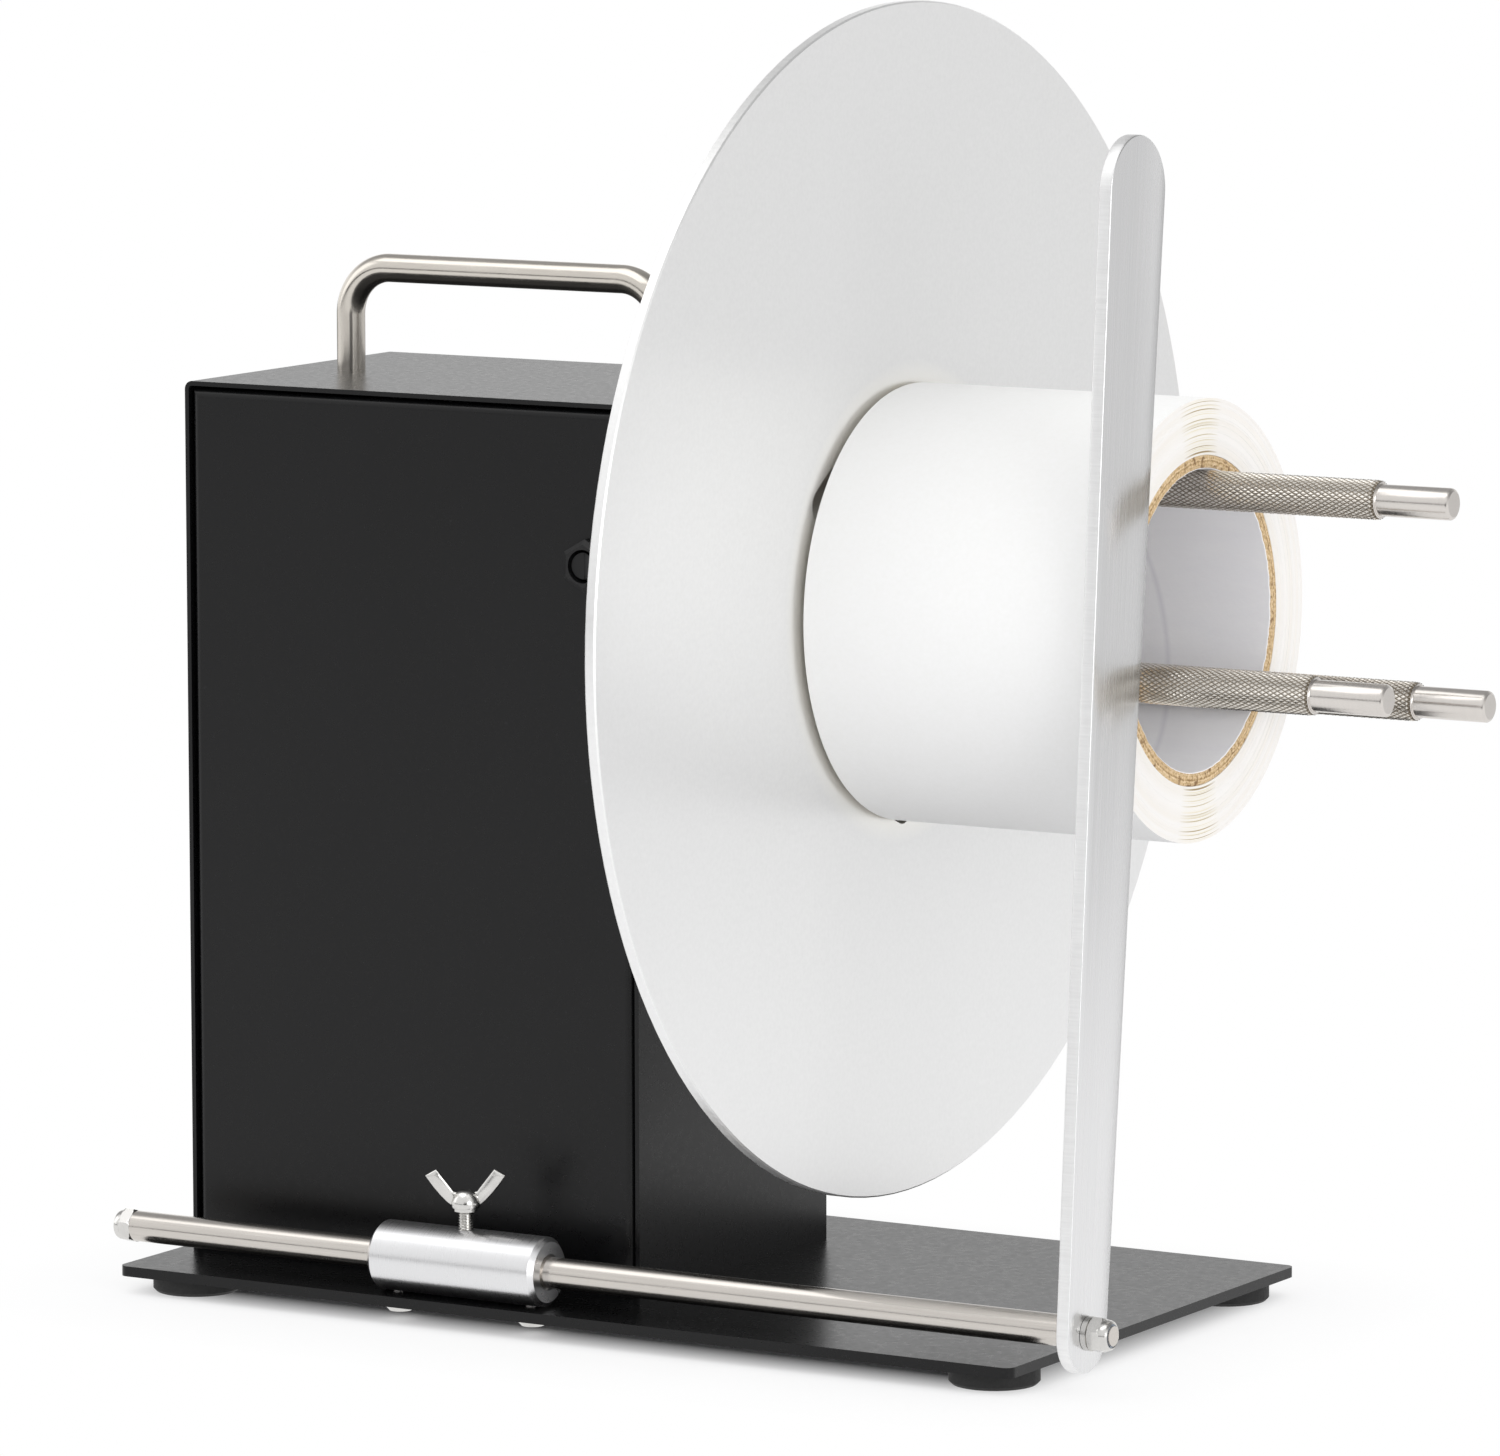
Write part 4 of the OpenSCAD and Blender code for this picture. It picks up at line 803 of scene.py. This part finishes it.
def floor():
    """White, with the object's shadow round the base plate. In reflections it is dimmer towards the back,
    at the back left, at the far front and where the dark figure stands."""
    mesh = bpy.data.meshes.new("floor")
    corners = [(-1, -1), (1, -1), (1, 1), (-1, 1)]
    mesh.from_pydata([(x * FLOOR_HALF, y * FLOOR_HALF, 0) for x, y in corners], [], [(0, 1, 2, 3)])
    obj = bpy.data.objects.new("floor", mesh)
    bpy.context.scene.collection.objects.link(obj)
    s = Shader("floor_white", (0.90, 0.90, 0.915), 0.9, Specular_IOR_Level=0.0)
    rays = s.add("ShaderNodeLightPath").outputs
    x, y = s.part(s.coords, "X"), s.part(s.coords, "Y")

    low, high = (Vector(v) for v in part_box("base_plate"))
    off = s.vector("ABSOLUTE", s.vector("SUBTRACT", s.coords, (low + high) / 2)[0])[0]
    off = s.vector("SUBTRACT", off, (high - low) / 2)[0]
    off = s.vector("SUBTRACT", off, (-SHADOW_INSET, -SHADOW_INSET, 0))[0]
    off = s.vector("MAXIMUM", off)[0]
    away = s.vector("LENGTH", s.vector("MULTIPLY", off, (1, 1, 0))[0])["Value"]
    share = s.math("ADD", s.span(away, 0.0, NEAR_SHARE, 0.0, NEAR_FADE),
                   s.span(away, 0.0, FAR_SHARE, NEAR_FADE, FAR_FADE))
    seen = s.math("MULTIPLY", rays["Is Camera Ray"], share)

    lit = s.math("MULTIPLY", s.span(y, 1.0, 0.72, 0.2, 1.3), s.span(y, 0.1, 1.0, -5.5, -4.5))
    back_left = s.math("MULTIPLY", s.span(y, 0.0, 0.6, 0.3, 0.9), s.span(x, 1.0, 0.0, -0.6, -0.1))
    lit = s.math("MULTIPLY", lit, s.math("SUBTRACT", 1.0, back_left))
    toward = s.vector("DOT_PRODUCT", s.vector("NORMALIZE", s.coords)[0], DARK_WAY)["Value"]
    reach = s.vector("LENGTH", s.coords)["Value"]
    figure = s.math("MULTIPLY", s.span(toward, 0.0, 0.9, 0.96, 0.985), s.span(reach, 0.0, 1.0, 0.8, 1.2))
    lit = s.math("MULTIPLY", lit, s.math("SUBTRACT", 1.0, figure))
    dimmed = s.math("MULTIPLY", rays["Is Glossy Ray"], s.math("SUBTRACT", 1.0, lit))
    mirrored = s.math("MULTIPLY", rays["Is Glossy Ray"], 0.92)

    glow = s.add("ShaderNodeEmission", {"Color": (*WHITE, 1.0), "Strength": s.math("SUBTRACT", 1.0, dimmed)})
    blend = {0: s.math("MAXIMUM", seen, mirrored), 1: s.bsdf.outputs[0], 2: glow.outputs[0]}
    mixed = s.add("ShaderNodeMixShader", blend)
    s.feed(s.tree.nodes["Material Output"].inputs["Surface"], mixed.outputs[0])
    mesh.materials.append(s.material)


def world(fill, front, dark):
    """White to the camera and an even fill. Reflections show a bright front with a dark low strip and a dark
    figure, and a back that is dimmer high up and to the right."""
    scene_world = bpy.data.worlds.new("studio")
    bpy.context.scene.world = scene_world
    scene_world.use_nodes = True
    n = Nodes(scene_world.node_tree)
    rays = n.add("ShaderNodeLightPath").outputs
    ahead = n.add("ShaderNodeTexCoord").outputs["Generated"]
    x, y, z = (n.part(ahead, axis) for axis in "XYZ")
    strip = n.math("MULTIPLY", n.span(y, 1.0, 0.0, -0.5, -0.25), n.span(z, 1.0, 0.0, 0.05, 0.10))
    toward = n.vector("DOT_PRODUCT", ahead, DARK_WAY)["Value"]
    figure = n.math("MULTIPLY", n.span(toward, 0.0, 1.0, 0.94, 0.975), n.span(z, 1.0, 0.0, 0.35, 0.5))
    behind = n.math("MULTIPLY", n.span(z, 1.12, 0.42, 0.25, 0.5), n.span(x, 1.0, 0.66, -0.2, 0.3))
    bright = n.between(n.span(y, 0.0, 1.0, -0.15, 0.15), front, behind)
    mirror = n.between(n.math("MAXIMUM", strip, figure), bright, dark)
    level = n.between(rays["Is Glossy Ray"], fill, mirror)
    clear = n.math("MAXIMUM", rays["Is Camera Ray"], rays["Is Transmission Ray"])
    background = n.tree.nodes["Background"]
    n.feed(background.inputs["Strength"], n.between(clear, level, 1.0))
    n.feed(background.inputs["Color"], (*WHITE, 1.0))


def softbox(name, at, towards, width, height, watts):
    data = bpy.data.lights.new(name, "AREA")
    data.shape = "RECTANGLE"
    data.size = width
    data.size_y = height
    data.energy = watts
    obj = bpy.data.objects.new(name, data)
    bpy.context.scene.collection.objects.link(obj)
    obj.location = at
    obj.rotation_euler = (Vector(towards) - Vector(at)).to_track_quat("-Z", "Y").to_euler()


def camera(at, yaw, pitch, roll, lens):
    """The photograph's view: a long lens, from the right and slightly above."""
    yaw, pitch, roll = (math.radians(angle) for angle in (yaw, pitch, roll))
    back = Vector((math.sin(yaw) * math.cos(pitch), -math.cos(yaw) * math.cos(pitch), math.sin(pitch)))
    right = Vector((math.cos(yaw), math.sin(yaw), 0.0))
    up = back.cross(right)
    side = math.cos(roll) * right + math.sin(roll) * up
    top = -math.sin(roll) * right + math.cos(roll) * up
    data = bpy.data.cameras.new("camera")
    data.sensor_fit = "HORIZONTAL"
    data.sensor_width = 36.0
    data.lens = lens
    data.clip_end = 50.0
    obj = bpy.data.objects.new("camera", data)
    bpy.context.scene.collection.objects.link(obj)
    turn = Matrix((side, top, back)).transposed().to_4x4()
    obj.matrix_world = Matrix.Translation(at) @ turn
    bpy.context.scene.camera = obj


AIM = (0.0, 0.0, 0.15)             # about the middle of the object
AIM_RIGHT = (0.05, 0.0, 0.15)

floor()
world(fill=1.0, front=0.94, dark=0.07)
softbox("key_top", at=(-0.5, -0.6, 1.9), towards=AIM, width=1.8, height=1.4, watts=7)
softbox("fill_right", at=(2.2, -1.2, 0.5), towards=AIM_RIGHT, width=1.4, height=0.9, watts=11)
softbox("side_left", at=(-1.9, -0.8, 0.9), towards=AIM, width=1.0, height=1.4, watts=3)
camera(at=(1.16307, -2.00305, 0.46201), yaw=30.65, pitch=7.65, roll=-0.12, lens=218.84)
bpy.context.scene.view_settings.view_transform = "Standard"
